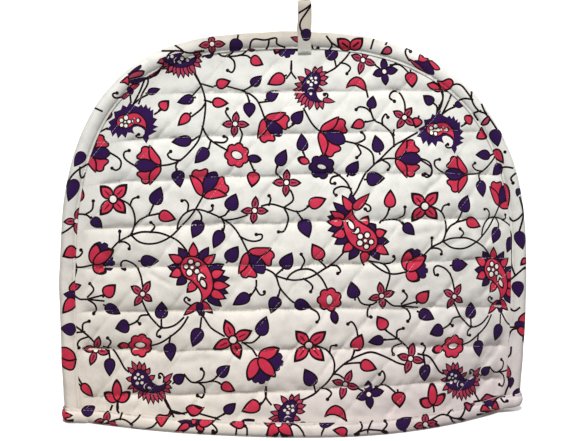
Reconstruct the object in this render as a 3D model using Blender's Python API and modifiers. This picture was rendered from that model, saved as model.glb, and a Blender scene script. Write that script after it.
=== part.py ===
"""A quilted cotton tea cosy: two printed panels bound together along an arch, bound again round the hem.

Metres, +Z up. The front faces -Y. The origin is on the surface that the hem stands on, under the middle.
"""

import math

import bmesh
import bpy

COLLECTION = "tea_cosy"

# Driving sizes of the whole cosy.
HEIGHT = 0.300  # to the top of the edge binding, without the loop
GAP = 0.0003  # clearance between pieces that touch

# The arch is a superellipse on each side of the middle, and the cloth has not settled evenly:
# reach from the middle, power (2 is an ellipse, more is squarer), height at which the side starts
# to curve in to the arch, and how far it comes in again from there to the hem.
ARCH = {
    "left": {"reach": 0.1767, "power": 3.1, "spring": 0.068, "foot_in": 0.0030},
    "right": {"reach": 0.1789, "power": 2.45, "spring": 0.116, "foot_in": 0.0055},
}
BLEND_HALF = 0.070  # over this far from the middle the two sides pass into each other

# How far each panel stands out from the plane of the seam.
HEM_BULGE = {"front": 0.054, "back": 0.050}
BULGE_POWER = 2.2  # roundness of the bulge from side to side
BULGE_SHIFT = {"front": 0.12, "back": -0.04}  # how far to the right it is fullest, as a share of the reach
TOP_TAPER = 0.45  # share of the bulge that is lost between hem and top
BULGE_SOFT = 0.06  # rounds the line where the bulge starts beside the binding

# Quilted panels. The level quilting seams were straight in the flat cloth, whose lower edge was cut
# bowed, so they arch up a little where the cosy is opened out.
PANEL_THICK = 0.0044  # crown of a puff
RIM_THICK = 0.0025  # pressed flat where the binding holds it
SEAM_THIN = 0.62  # share of PANEL_THICK that is left in a quilting seam
QUILT_FIRST = 0.0225  # height of the lowest level seam at the sides
QUILT_PITCH = 0.0335
QUILT_SEAMS = 8
QUILT_ARCH = 0.25  # rise of a level seam for each metre that the panel stands out
QUILT_DEPTH = 0.0014  # depth of a seam below the crowns
PUFFS_OPEN = (0.0012, 0.0070)  # bulge at which the cloth starts to thicken, and at which it is full
PANEL_FOOT_GAP = 0.0010  # room for the tilt of the panel's lower edge in the fold of the hem binding
PANEL_COLUMNS = 24
ROWS_IN_PITCH = 3
CROWN_ROWS = (0.30, 0.55, 0.76, 0.91, 1.0)  # rows from the top seam to the top edge, as shares of the rise
TOP_ROW_DROP = 0.0012  # the top row stops short of the arch's point, so that it keeps some width

# Edge binding, folded over both panels.
EDGE_WIDTH = 0.012
EDGE_CLOTH = 0.0017  # folded strip with its turned edges
EDGE_CROWN = 0.0022  # the same at the crown of its roll
EDGE_NOSE = 0.0013  # half of its blunt outer edge
EDGE_SIDE_ROWS = 6
EDGE_ARCH_ROWS = 16  # on each side of the middle

# Hem binding, folded over the open edge.
HEM_WIDTH = 0.0115
HEM_CLOTH = 0.0016
HEM_CROWN = 0.0020
HEM_STATIONS = 25  # along each panel
NOSE_STATIONS = 5  # round each end of the opening
NOSE_LENGTH = 0.004  # the round nose at the seam, along X
INNER_STOP = 0.0205  # the inner leg turns round this far inside the outer edge
INNER_TURN = 0.0022  # half of the width of that turn

# Loop, sewn down over the edge binding.
LOOP_X = 0.0095
LOOP_WIDTH = 0.0103
LOOP_RISE = 0.025  # above the binding
LOOP_TAIL = 0.0132  # length sewn down below the top of the binding
LOOP_CLOTH = 0.0018
LOOP_GAP = 0.0056  # clear space between its two legs
LOOP_TURN_ROWS = 6

# Unevenness of the real cloth.
CORNER_LIFT = 0.003  # the right end of the hem, off the surface
CORNER_LIFT_FROM = 0.115
LIFT_FADES_AT = 0.060
WAVE_DEPTH = 0.0014  # slow hollows and swellings of a panel
WAVE_FULL_AT = 0.030  # distance from the plane of the seam at which they reach full depth


def smooth_step(value, low, high):
    """0 below low, 1 above high, and an even curve between."""
    share = min(max((value - low) / (high - low), 0.0), 1.0)
    return share * share * (3.0 - 2.0 * share)


def crowd_to_ends(share):
    """Maps -1..1 onto itself, a little closer together towards both ends."""
    return 0.72 * share + 0.28 * math.sin(share * math.pi / 2.0)


def arch_of(end):
    return ARCH["left" if end < 0.0 else "right"]


def half_width(end, z, inset=0.0):
    """Reach of the arch from the middle at height z, on the side that end's sign gives, for an inset arch."""
    arch = arch_of(end)
    reach = arch["reach"] - inset
    spring = arch["spring"]
    if z < spring:
        return reach - arch["foot_in"] * ((spring - z) / spring) ** 2
    share = min((z - spring) / (HEIGHT - spring - inset), 1.0)
    return reach * (1.0 - share ** arch["power"]) ** (1.0 / arch["power"])


def swell(side, end, x, z):
    """How full a panel is at (x, z), by the arch of one side: about 1 in the middle, 0 along the binding."""
    arch = arch_of(end)
    across = x / half_width(x, min(z, arch_of(x)["spring"]), EDGE_WIDTH)
    across = abs(across - BULGE_SHIFT[side] * max(1.0 - across * across, 0.0))
    up = max(z - arch["spring"], 0.0) / (HEIGHT - arch["spring"] - EDGE_WIDTH)
    radius = (across ** arch["power"] + up ** arch["power"]) ** (1.0 / arch["power"])
    full = 1.0 - radius**BULGE_POWER
    return (full + math.sqrt(full * full + BULGE_SOFT**2)) / 2.0


def face_depth(side, x, z):
    """Distance of a panel's outer face from the plane of the seam, at the crowns of its puffs."""
    right = smooth_step(x, -BLEND_HALF, BLEND_HALF)
    full = (1.0 - right) * swell(side, -1.0, x, z) + right * swell(side, 1.0, x, z)
    return GAP / 2.0 + RIM_THICK + HEM_BULGE[side] * (1.0 - TOP_TAPER * z / HEIGHT) * full


def lean(side, x, z):
    """The slopes of face_depth along X and along Z."""
    step = 0.0005
    along_x = (face_depth(side, x + step, z) - face_depth(side, x - step, z)) / (2.0 * step)
    along_z = (face_depth(side, x, z + step) - face_depth(side, x, z - step)) / (2.0 * step)
    return along_x, along_z


def settle(point):
    """Moves a point of the even shape to where the soft, slightly uneven cloth really is."""
    x, y, z = point
    lift = CORNER_LIFT * smooth_step(x, CORNER_LIFT_FROM, ARCH["right"]["reach"])
    z += lift * (1.0 - smooth_step(z, 0.0, LIFT_FADES_AT))
    share = smooth_step(abs(y), 0.0, WAVE_FULL_AT)
    phase = 0.0 if y < 0.0 else 2.1
    wave = math.sin(31.0 * x + 14.0 * z + phase) * math.cos(23.0 * z - 9.0 * x + phase)
    y += math.copysign(1.0, y) * WAVE_DEPTH * wave * share
    return x, y, z


def make_material(name, colour, roughness):
    material = bpy.data.materials.new(name)
    material.use_nodes = True
    shader = material.node_tree.nodes["Principled BSDF"]
    shader.inputs["Base Color"].default_value = (*colour, 1.0)
    shader.inputs["Roughness"].default_value = roughness
    shader.inputs["Metallic"].default_value = 0.0
    material.diffuse_color = (*colour, 1.0)
    return material


def add_object(name, mesh, material):
    mesh.materials.append(material)
    mesh.shade_smooth()
    mesh.set_sharp_from_angle(angle=math.radians(50.0))
    piece = bpy.data.objects.new(name, mesh)
    bpy.data.collections[COLLECTION].objects.link(piece)
    return piece


def loft(name, sections, material, closed):
    """One solid through closed sections of equally many points: a ring where closed, else with capped ends."""
    mesh = bpy.data.meshes.new(name)
    shape = bmesh.new()
    rings = [[shape.verts.new(settle(point)) for point in section] for section in sections]
    count = len(rings[0])
    pairs = list(zip(rings, rings[1:]))
    if closed:
        pairs.append((rings[-1], rings[0]))
    for ring, following in pairs:
        for i in range(count):
            j = (i + 1) % count
            shape.faces.new((ring[i], ring[j], following[j], following[i]))
    if not closed:
        shape.faces.new(list(reversed(rings[0])))
        shape.faces.new(rings[-1])
    bmesh.ops.recalc_face_normals(shape, faces=shape.faces)
    shape.to_mesh(mesh)
    shape.free()
    return add_object(name, mesh, material)


def panel_rows():
    """(height at the sides, share of a puff's fullness) for each row of a panel's grid, from hem to top."""
    foot = HEM_CLOTH + PANEL_FOOT_GAP
    rows = [(foot, 0.9), ((foot + QUILT_FIRST) / 2.0, 0.9)]
    for i in range((QUILT_SEAMS - 1) * ROWS_IN_PITCH + 1):
        phase = math.pi * i / ROWS_IN_PITCH
        rows.append((QUILT_FIRST + QUILT_PITCH * i / ROWS_IN_PITCH, abs(math.sin(phase))))
    last = rows[-1][0]
    top = HEIGHT - EDGE_CLOTH - 2.0 * GAP
    rows += [(last + (top - last) * share, 0.9) for share in CROWN_ROWS]
    rows[-1] = (top - TOP_ROW_DROP, 0.9)
    return rows


def row_height(side, x, level, foot):
    """Height at x of the row that lies at level at the sides: it arches up, but the hem and the top do not."""
    share = smooth_step(level, foot, QUILT_FIRST) * (1.0 - smooth_step(level, 0.255, HEIGHT - 0.004))
    out = face_depth(side, x, level) - GAP / 2.0 - RIM_THICK
    return level + QUILT_ARCH * out * share


def make_panel(side, material):
    """A grid over the arch, pushed out to the panel's face, then given the thickness of the quilting."""
    name = side + "_panel"
    sign = -1.0 if side == "front" else 1.0
    rows = panel_rows()
    mesh = bpy.data.meshes.new(name)
    shape = bmesh.new()
    bmesh.ops.create_grid(shape, x_segments=PANEL_COLUMNS, y_segments=len(rows) - 1, size=1.0)
    layer = shape.verts.layers.deform.verify()
    for vert in shape.verts:
        # create_grid spans -1 to 1 both ways.
        share = vert.co.x
        level, fullness = rows[round((vert.co.y + 1.0) / 2.0 * (len(rows) - 1))]
        height = row_height(side, share * ARCH["left"]["reach"], level, rows[0][0])
        x = half_width(share, height, EDGE_CLOTH + 2.0 * GAP) * crowd_to_ends(share)
        crown = face_depth(side, x, height)
        inside = smooth_step(crown - GAP / 2.0 - RIM_THICK, *PUFFS_OPEN)
        depth = crown - QUILT_DEPTH * (1.0 - fullness) * inside
        vert.co = settle((x, sign * depth, height))
        full = SEAM_THIN + (1.0 - SEAM_THIN) * fullness
        vert[layer][0] = (RIM_THICK + (PANEL_THICK * full - RIM_THICK) * inside) / PANEL_THICK
    bmesh.ops.recalc_face_normals(shape, faces=shape.faces)
    outward = sum(face.normal.y * face.calc_area() for face in shape.faces)
    if outward * sign < 0.0:
        bmesh.ops.reverse_faces(shape, faces=shape.faces)
    shape.to_mesh(mesh)
    shape.free()
    panel = add_object(name, mesh, material)
    group = panel.vertex_groups.new(name="thickness")
    shell = panel.modifiers.new("quilted thickness", "SOLIDIFY")
    shell.thickness = PANEL_THICK
    shell.offset = -1.0
    shell.vertex_group = group.name
    return panel


def arch_side(end):
    """(x, z) along the outer edge on one side, from its foot to the top of the arch."""
    arch = arch_of(end)
    foot = HEM_CLOTH + GAP
    places = []
    for i in range(EDGE_SIDE_ROWS):
        z = foot + (arch["spring"] - foot) * i / EDGE_SIDE_ROWS
        places.append((end * half_width(end, z), z))
    for i in range(EDGE_ARCH_ROWS + 1):
        angle = math.pi / 2.0 * i / EDGE_ARCH_ROWS
        across = max(math.cos(angle), 0.0) ** (2.0 / arch["power"])
        up = math.sin(angle) ** (2.0 / arch["power"])
        places.append((end * arch["reach"] * across, arch["spring"] + (HEIGHT - arch["spring"]) * up))
    return places


def arch_stations():
    """(point, inward normal) in the plane of the seam, from the left foot over the top to the right foot."""
    places = arch_side(-1.0) + list(reversed(arch_side(1.0)))[1:]
    stations = []
    for i, (x, z) in enumerate(places):
        before = places[max(i - 1, 0)]
        after = places[min(i + 1, len(places) - 1)]
        run = math.hypot(after[0] - before[0], after[1] - before[1])
        normal = ((after[1] - before[1]) / run, -(after[0] - before[0]) / run)
        stations.append(((x, z), normal))
    return stations


def edge_half_section(side, point, normal):
    """Half of the edge binding's section, from its nose along the outer skin and back along the inner."""
    profile = (
        # distance in from the edge, height of the cloth over the panel's face
        (0.0012, 0.0008),
        (0.0035, GAP + 0.85 * EDGE_CROWN),
        (0.0070, GAP + EDGE_CROWN),
        (0.0106, GAP + EDGE_CLOTH),
        (EDGE_WIDTH, GAP + 0.6 * EDGE_CLOTH),
        (EDGE_WIDTH - 0.0004, 2.5 * GAP),
        (EDGE_CLOTH, GAP),
    )
    points = []
    for inward, over in profile:
        x = point[0] + normal[0] * inward
        z = point[1] + normal[1] * inward
        points.append((x, face_depth(side, x, z) + over, z))
    return points


def make_edge_binding(material):
    sections = []
    for point, normal in arch_stations():
        front = [(x, -depth, z) for x, depth, z in edge_half_section("front", point, normal)]
        back = edge_half_section("back", point, normal)
        tip = [(point[0], EDGE_NOSE, point[1]), (point[0], -EDGE_NOSE, point[1])]
        sections.append(tip + front + list(reversed(back)))
    return loft("edge_binding", sections, material, closed=False)


def hem_cover(side, x, z):
    """Depth of what the hem binding lies on: the panel, and near the seam the edge binding over it."""
    inner_edge = half_width(x, z) - EDGE_WIDTH
    climb = smooth_step(abs(x), inner_edge - 0.005, inner_edge)
    return face_depth(side, x, z) + climb * (GAP + EDGE_CROWN) + 1.5 * GAP


def hem_panel_station(side, share, z):
    """((outer point, its normal), (inner point, its normal)) in plan, where the binding wraps one panel."""
    sign = -1.0 if side == "front" else 1.0
    step = 0.0005
    x = share * (half_width(share, z) - NOSE_LENGTH)
    slope = (hem_cover(side, x + step, z) - hem_cover(side, x - step, z)) / (2.0 * step)
    length = math.hypot(slope, 1.0)
    outer = (x, sign * hem_cover(side, x, z))
    outer_normal = (-slope / length, sign / length)
    inner_x = share * (half_width(share, z) - INNER_STOP)
    slope, fall = lean(side, inner_x, z)
    through = (PANEL_THICK + 2.0 * GAP) * math.sqrt(1.0 + slope * slope + fall * fall)
    inner_depth = max(face_depth(side, inner_x, z) - through, INNER_TURN)
    inner_length = math.hypot(slope, 1.0)
    inner = (inner_x, sign * inner_depth)
    inner_normal = (slope / inner_length, -sign / inner_length)
    return (outer, outer_normal), (inner, inner_normal)


def hem_nose_station(end, share, z):
    """The same round an end of the opening: share runs from 0 at the front panel to 1 at the back one."""
    angle = math.pi * (share - 0.5)
    outer_x = half_width(end, z) - NOSE_LENGTH
    side = "front" if share < 0.5 else "back"
    deep = hem_cover(side, end * outer_x, z)
    outer = (end * (outer_x + (NOSE_LENGTH + GAP) * math.cos(angle)), deep * math.sin(angle))
    normal = (end * math.cos(angle), math.sin(angle))
    inner_x = half_width(end, z) - INNER_STOP
    turn = max(face_depth(side, end * inner_x, z) - 1.1 * PANEL_THICK - 2.0 * GAP, INNER_TURN)
    inner = (end * (inner_x + 0.5 * INNER_TURN * math.cos(angle)), turn * math.sin(angle))
    inner_normal = (-end * 0.6 * math.cos(angle), -math.sin(angle))
    return (outer, normal), (inner, inner_normal)


def hem_section(station):
    """The folded strip's closed section at one station, which is a function of height."""
    profile = (
        # outer leg or not, height, distance out of the wrapped cloth
        (True, HEM_CLOTH, 0.0),
        (True, HEM_WIDTH - 0.0004, 0.0),
        (True, HEM_WIDTH, 0.5 * HEM_CLOTH),
        (True, HEM_WIDTH - 0.0008, HEM_CLOTH),
        (True, 0.5 * HEM_WIDTH, HEM_CROWN),
        (True, 0.0010, 0.8 * HEM_CLOTH),
        (True, 0.0, 0.2 * HEM_CLOTH),
        (False, 0.0, 0.2 * HEM_CLOTH),
        (False, 0.0010, 0.8 * HEM_CLOTH),
        (False, HEM_WIDTH - 0.0008, HEM_CLOTH),
        (False, HEM_WIDTH, 0.5 * HEM_CLOTH),
        (False, HEM_WIDTH - 0.0004, 0.0),
        (False, HEM_CLOTH, 0.0),
    )
    points = []
    for outer_leg, height, out in profile:
        (place, normal) = station(height)[0 if outer_leg else 1]
        points.append((place[0] + normal[0] * out, place[1] + normal[1] * out, height))
    return points


def make_hem_binding(material):
    shares = [crowd_to_ends(2.0 * i / (HEM_STATIONS - 1) - 1.0) for i in range(HEM_STATIONS)]
    turns = [i / (NOSE_STATIONS + 1) for i in range(1, NOSE_STATIONS + 1)]
    sections = []
    for share in shares:
        sections.append(hem_section(lambda z, s=share: hem_panel_station("front", s, z)))
    for turn in turns:
        sections.append(hem_section(lambda z, t=turn: hem_nose_station(1.0, t, z)))
    for share in reversed(shares):
        sections.append(hem_section(lambda z, s=share: hem_panel_station("back", s, z)))
    for turn in reversed(turns):
        sections.append(hem_section(lambda z, t=turn: hem_nose_station(-1.0, t, z)))
    return loft("hem_binding", sections, material, closed=True)


def loop_leg(side):
    """(depth, z) of one leg's middle line, from its sewn end up to where the two legs lean together."""
    over = GAP + EDGE_CROWN + GAP + LOOP_CLOTH / 2.0
    leg_y = (LOOP_GAP + LOOP_CLOTH) / 2.0
    low = HEIGHT - LOOP_TAIL
    sewn = (low, low + 0.0045, low + 0.0090, HEIGHT - 0.0010)
    points = [(face_depth(side, LOOP_X, z) + over, z) for z in sewn]
    points += [(leg_y + 0.0016, HEIGHT + 0.0070), (leg_y + 0.0003, HEIGHT + 0.0135)]
    return points


def loop_path():
    """(y, z) of the strap's middle line, from its front end up, over and down to its back end."""
    leg_y = (LOOP_GAP + LOOP_CLOTH) / 2.0
    turn_z = HEIGHT + LOOP_RISE - LOOP_CLOTH / 2.0 - leg_y
    turn = []
    for i in range(LOOP_TURN_ROWS + 1):
        angle = math.pi * i / LOOP_TURN_ROWS
        turn.append((-leg_y * math.cos(angle), turn_z + leg_y * math.sin(angle)))
    front = [(-depth, z) for depth, z in loop_leg("front")]
    return front + turn + list(reversed(loop_leg("back")))


def make_top_loop(material):
    path = loop_path()
    mesh = bpy.data.meshes.new("top_loop")
    shape = bmesh.new()
    bmesh.ops.create_grid(shape, x_segments=2, y_segments=len(path) - 1, size=1.0)
    for vert in shape.verts:
        y, z = path[round((vert.co.y + 1.0) / 2.0 * (len(path) - 1))]
        vert.co = settle((LOOP_X + vert.co.x * LOOP_WIDTH / 2.0, y, z))
    shape.to_mesh(mesh)
    shape.free()
    loop = add_object("top_loop", mesh, material)
    strap = loop.modifiers.new("strap thickness", "SOLIDIFY")
    strap.thickness = LOOP_CLOTH
    strap.offset = 0.0
    return loop


def centre_on_base(pieces):
    """Shifts all pieces alike, so that the origin is under the middle of the whole cosy."""
    bpy.context.view_layer.update()
    graph = bpy.context.evaluated_depsgraph_get()
    corners = [corner for piece in pieces for corner in piece.evaluated_get(graph).bound_box]
    shift = [(min(c[i] for c in corners) + max(c[i] for c in corners)) / 2.0 for i in (0, 1)]
    base = min(c[2] for c in corners)
    for piece in pieces:
        piece.location = (-shift[0], -shift[1], -base)


def main():
    for old in list(bpy.data.objects):
        bpy.data.objects.remove(old, do_unlink=True)
    collection = bpy.data.collections.new(COLLECTION)
    bpy.context.scene.collection.children.link(collection)
    cream = (0.80, 0.77, 0.70)
    pieces = [
        make_panel("front", make_material("front_print", cream, 0.85)),
        make_panel("back", make_material("back_print", cream, 0.85)),
        make_edge_binding(make_material("edge_print", (0.62, 0.50, 0.52), 0.85)),
        make_hem_binding(make_material("hem_print", (0.66, 0.55, 0.55), 0.85)),
        make_top_loop(make_material("loop_print", (0.74, 0.70, 0.68), 0.85)),
    ]
    centre_on_base(pieces)


main()
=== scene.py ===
"""Looks of the quilted cotton tea cosy: printed cloth on panels and bindings, quilting, stitches and loop.

The print is drawn as shapes in a flat chart of the cloth. Each piece is then cut from that chart,
shape by shape, and laid on the piece's own curved surface.
"""

import math

import bpy
import numpy as np
from mathutils import Matrix, Vector
from mathutils.geometry import delaunay_2d_cdt


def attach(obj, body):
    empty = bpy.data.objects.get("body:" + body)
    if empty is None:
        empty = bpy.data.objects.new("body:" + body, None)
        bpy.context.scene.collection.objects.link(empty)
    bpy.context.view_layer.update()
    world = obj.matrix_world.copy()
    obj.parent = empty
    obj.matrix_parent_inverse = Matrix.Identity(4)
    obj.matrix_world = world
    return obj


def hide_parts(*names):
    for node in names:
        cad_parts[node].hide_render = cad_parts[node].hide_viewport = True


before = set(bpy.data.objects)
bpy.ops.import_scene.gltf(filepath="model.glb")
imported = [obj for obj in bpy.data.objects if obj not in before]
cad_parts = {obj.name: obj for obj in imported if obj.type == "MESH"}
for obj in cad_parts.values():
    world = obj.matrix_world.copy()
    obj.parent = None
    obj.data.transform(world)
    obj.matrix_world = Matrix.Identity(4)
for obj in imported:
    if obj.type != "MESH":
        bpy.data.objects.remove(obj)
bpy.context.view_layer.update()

# ---------------------------------------------------------------- sizes of the construction, in metres

HEIGHT = 0.300
GAP = 0.0003
ARCH = {
    "left": {"reach": 0.1767, "power": 3.1, "spring": 0.068, "foot_in": 0.0030},
    "right": {"reach": 0.1789, "power": 2.45, "spring": 0.116, "foot_in": 0.0055},
}
BLEND_HALF = 0.070
HEM_BULGE = {"front": 0.054, "back": 0.050}
BULGE_POWER = 2.2
BULGE_SHIFT = {"front": 0.12, "back": -0.04}
TOP_TAPER = 0.45
BULGE_SOFT = 0.06
QUILT_ARCH = 0.25
PANEL_THICK = 0.0044
RIM_THICK = 0.0025
PUFFS_OPEN = (0.0012, 0.0070)
PANEL_FOOT = 0.0026  # lower edge of a panel, in the fold of the hem binding
PANEL_INSET = 0.0023  # from the arch's edge to the edge of a panel, in the fold of the edge binding
EDGE_WIDTH = 0.012
HEM_WIDTH = 0.0115
HEM_CLOTH = 0.0016
NOSE_LENGTH = 0.004
INNER_STOP = 0.0205
INNER_TURN = 0.0022
LOOP_X = 0.0107
LOOP_WIDTH = 0.0101
LOOP_RISE = 0.025
LOOP_TAIL = 0.0146
LOOP_CLOTH = 0.0018
LOOP_GAP = 0.0056
CORNER_LIFT = 0.003
CORNER_LIFT_FROM = 0.115
LIFT_FADES_AT = 0.060
WAVE_DEPTH = 0.0014
WAVE_FULL_AT = 0.030

# ---------------------------------------------------------------- the camera, and the chart's scale

AZIMUTH = math.radians(3.16)  # the camera stands a little to the left
ELEVATION = math.radians(14.78)
ROLL = math.radians(0.505)
TARGET = Vector((0.0, 0.0, 0.15))
TARGET_AT = (293.09, 226.73)  # pixel of the photograph at which the target is seen
PHOTO = (588, 441)
PIXELS_PER_METRE = 1320.8  # at the target
DISTANCE = 3.0
SENSOR = 36.0

# One unit of the chart is one pixel of the photograph, so this is its size on the cloth.
UNIT = 1.0 / PIXELS_PER_METRE


def camera_axes():
    """(right, up, forward) of the camera."""
    sin_a, cos_a = math.sin(AZIMUTH), math.cos(AZIMUTH)
    sin_e, cos_e = math.sin(ELEVATION), math.cos(ELEVATION)
    right = Vector((cos_a, -sin_a, 0.0))
    up = Vector((sin_a * sin_e, cos_a * sin_e, cos_e))
    forward = Vector((sin_a * cos_e, cos_a * cos_e, -sin_e))
    sin_r, cos_r = math.sin(ROLL), math.cos(ROLL)
    return right * cos_r - up * sin_r, right * sin_r + up * cos_r, forward


def add_camera():
    right, up, forward = camera_axes()
    aim = TARGET + right * (PHOTO[0] / 2.0 - TARGET_AT[0]) * UNIT
    aim = aim - up * (PHOTO[1] / 2.0 - TARGET_AT[1]) * UNIT
    camera = bpy.data.objects.new("camera", bpy.data.cameras.new("camera"))
    camera.data.sensor_width = SENSOR
    camera.data.lens = PIXELS_PER_METRE * SENSOR * DISTANCE / PHOTO[0]
    turn = Matrix((right, up, -forward)).transposed()
    camera.matrix_world = Matrix.Translation(aim - forward * DISTANCE) @ turn.to_4x4()
    bpy.context.scene.collection.objects.link(camera)
    bpy.context.scene.camera = camera


# ---------------------------------------------------------------- the cosy's form, on arrays of points


def smooth_step(value, low, high):
    share = np.clip((value - low) / (high - low), 0.0, 1.0)
    return share * share * (3.0 - 2.0 * share)


def of_arch(x, key):
    return np.where(np.asarray(x) < 0.0, ARCH["left"][key], ARCH["right"][key])


def half_width(x, z, inset=0.0):
    """Reach of the arch at height z, on the side of the middle that x is on."""
    spring = of_arch(x, "spring")
    power = of_arch(x, "power")
    reach = of_arch(x, "reach") - inset
    below = reach - of_arch(x, "foot_in") * ((spring - z) / spring) ** 2
    share = np.clip((z - spring) / (HEIGHT - spring - inset), 0.0, 1.0)
    return np.where(z < spring, below, reach * (1.0 - share**power) ** (1.0 / power))


def swell(side, end, x, z):
    arch = ARCH[end]
    across = x / half_width(x, np.minimum(z, of_arch(x, "spring")), EDGE_WIDTH)
    across = np.abs(across - BULGE_SHIFT[side] * np.maximum(1.0 - across * across, 0.0))
    up = np.maximum(z - arch["spring"], 0.0) / (HEIGHT - arch["spring"] - EDGE_WIDTH)
    radius = (across ** arch["power"] + up ** arch["power"]) ** (1.0 / arch["power"])
    full = 1.0 - radius**BULGE_POWER
    return (full + np.sqrt(full * full + BULGE_SOFT**2)) / 2.0


def bulge(side, x, z):
    """How far a panel stands out from the binding at its rim."""
    right = smooth_step(x, -BLEND_HALF, BLEND_HALF)
    full = (1.0 - right) * swell(side, "left", x, z) + right * swell(side, "right", x, z)
    return HEM_BULGE[side] * (1.0 - TOP_TAPER * z / HEIGHT) * full


def face_depth(side, x, z):
    return GAP / 2.0 + RIM_THICK + bulge(side, x, z)


def frame_shift():
    """How far the construction was moved to stand over its own middle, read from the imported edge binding."""
    places = np.array([vert.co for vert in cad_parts["edge_binding"].data.vertices])
    left = places[:, 0].min()
    seam = places[places[:, 0] < left + 0.0001, 1].mean()
    return np.array((left + ARCH["left"]["reach"], seam, 0.0))


SHIFT = frame_shift()


def settle(x, y, z):
    """Where a point of the even shape really is on the soft, uneven cloth, in the frame's own axes."""
    lift = CORNER_LIFT * smooth_step(x, CORNER_LIFT_FROM, ARCH["right"]["reach"])
    z = z + lift * (1.0 - smooth_step(z, 0.0, LIFT_FADES_AT))
    phase = np.where(y < 0.0, 0.0, 2.1)
    wave = np.sin(31.0 * x + 14.0 * z + phase) * np.cos(23.0 * z - 9.0 * x + phase)
    y = y + np.sign(y) * WAVE_DEPTH * wave * smooth_step(np.abs(y), 0.0, WAVE_FULL_AT)
    return np.stack((x, y, z), axis=1) + SHIFT


def panel_place(side, x, z, sink=0.0):
    """Points of a panel's face at (x, z), sunk below the crowns of its puffs."""
    sign = -1.0 if side == "front" else 1.0
    return settle(x, sign * (face_depth(side, x, z) - sink), z)


def seen_at(places):
    """Chart position of each place, which is where the camera sees it."""
    offset = places - np.array(TARGET)
    across, rise, away = (offset @ np.array(axis) for axis in camera_axes())
    scale = DISTANCE / (DISTANCE + away) / UNIT
    x = PHOTO[0] / 2.0 + (across - (PHOTO[0] / 2.0 - TARGET_AT[0]) * UNIT) * scale
    y = PHOTO[1] / 2.0 - (rise + (PHOTO[1] / 2.0 - TARGET_AT[1]) * UNIT) * scale
    return np.stack((x, y), axis=1)


BACK_MIDDLE = (420.0, 226.7)  # chart position of the back panel's middle, further along the cloth


def chart_of(side, x, z):
    """Chart position of the panel's cloth at (x, z): the back is read from behind."""
    if side == "front":
        return seen_at(panel_place("front", x, z))
    level = z - QUILT_ARCH * bulge(side, x, z)
    return np.stack((BACK_MIDDLE[0] - x / UNIT, BACK_MIDDLE[1] - (level - TARGET.z) / UNIT), axis=1)


def panel_from_chart(side, chart):
    """(x, z) on the panel of each chart position."""
    turn = 1.0 if side == "front" else -1.0
    middle = TARGET_AT if side == "front" else BACK_MIDDLE
    x = turn * (chart[:, 0] - middle[0]) * UNIT
    z = TARGET.z - (chart[:, 1] - middle[1]) * UNIT
    for _ in range(24):
        z = np.clip(z, -0.004, HEIGHT - 0.0002)
        error = chart - chart_of(side, x, z)
        x = x + turn * error[:, 0] * UNIT
        z = z - error[:, 1] * UNIT
    return x, np.clip(z, PANEL_FOOT, HEIGHT)


# ---------------------------------------------------------------- shapes of the print, in chart units

LINE_WIDTH = 1.8  # dark outline of a printed shape
VINE_WIDTH = 2.0
STALK = 2.2


def lerp(a, b, share):
    return a + (b - a) * share


def curve_through(points, closed=False, steps=4):
    """Points along a Catmull-Rom curve through the given points."""
    points = np.asarray(points, float)
    count = len(points)
    if closed:
        padded = np.concatenate((points[-1:], points, points[:2]))
        spans = count
    else:
        first = 2.0 * points[0] - points[1]
        last = 2.0 * points[-1] - points[-2]
        padded = np.concatenate((first[None], points, last[None]))
        spans = count - 1
    made = []
    for i in range(spans):
        p0, p1, p2, p3 = padded[i : i + 4]
        for k in range(steps):
            t = k / steps
            made.append(
                0.5 * (2.0 * p1 + (p2 - p0) * t + (2.0 * p0 - 5.0 * p1 + 4.0 * p2 - p3) * t * t
                       + (3.0 * p1 - p0 - 3.0 * p2 + p3) * t**3)
            )
    if not closed:
        made.append(points[-1])
    return np.array(made)


def shrunk(polygon, by):
    """The polygon with each point moved in by a fixed distance, for the fill inside an outline."""
    before = np.roll(polygon, 1, axis=0)
    after = np.roll(polygon, -1, axis=0)
    along = after - before
    normal = np.stack((-along[:, 1], along[:, 0]), axis=1)
    normal /= np.maximum(np.linalg.norm(normal, axis=1), 1e-6)[:, None]
    area = np.sum(polygon[:, 0] * after[:, 1] - after[:, 0] * polygon[:, 1])
    return polygon + normal * by * (1.0 if area > 0.0 else -1.0)


def petal_outline(base, tip, width, base_round=0.5, tip_sharp=1.0, bend=0.0, points=9):
    """Leaf shape: round at its base where base_round is small, pointed at its tip."""
    base, tip = np.asarray(base, float), np.asarray(tip, float)
    axis = tip - base
    side = np.array((-axis[1], axis[0])) / max(np.linalg.norm(axis), 1e-6)
    t = 0.5 - 0.5 * np.cos(np.linspace(0.0, math.pi, points + 2))
    widest = base_round / (base_round + tip_sharp)
    fullness = t**base_round * (1.0 - t) ** tip_sharp
    fullness /= widest**base_round * (1.0 - widest) ** tip_sharp
    middle = base + axis * t[:, None] + side * (bend * np.linalg.norm(axis) * np.sin(math.pi * t))[:, None]
    half = side * (fullness * width / 2.0)[:, None]
    return np.concatenate((middle + half, (middle - half)[-2:0:-1]))


def petal(base, tip, width, ink, line=LINE_WIDTH, **form):
    """A leaf or petal: its dark outline, and its fill inside it."""
    base, tip = np.asarray(base, float), np.asarray(tip, float)
    length = max(np.linalg.norm(tip - base), 1e-6)
    inner_base = lerp(base, tip, line / length)
    inner_tip = lerp(tip, base, 1.9 * line / length)
    return [
        (petal_outline(base, tip, width, **form), "line"),
        (petal_outline(inner_base, inner_tip, width - 2.0 * line, **form), ink),
    ]


def leaf(row, ink, line):
    """A leaf with a short stalk at its base, which meets the vine."""
    base, tip = np.array(row[:2]), np.array(row[2:4])
    back = (base - tip) / np.linalg.norm(base - tip)
    stalk = band((base + back * STALK, base - back * line), VINE_WIDTH, steps=1)
    return stalk + petal(base, tip, row[4], ink, line=line)


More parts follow.
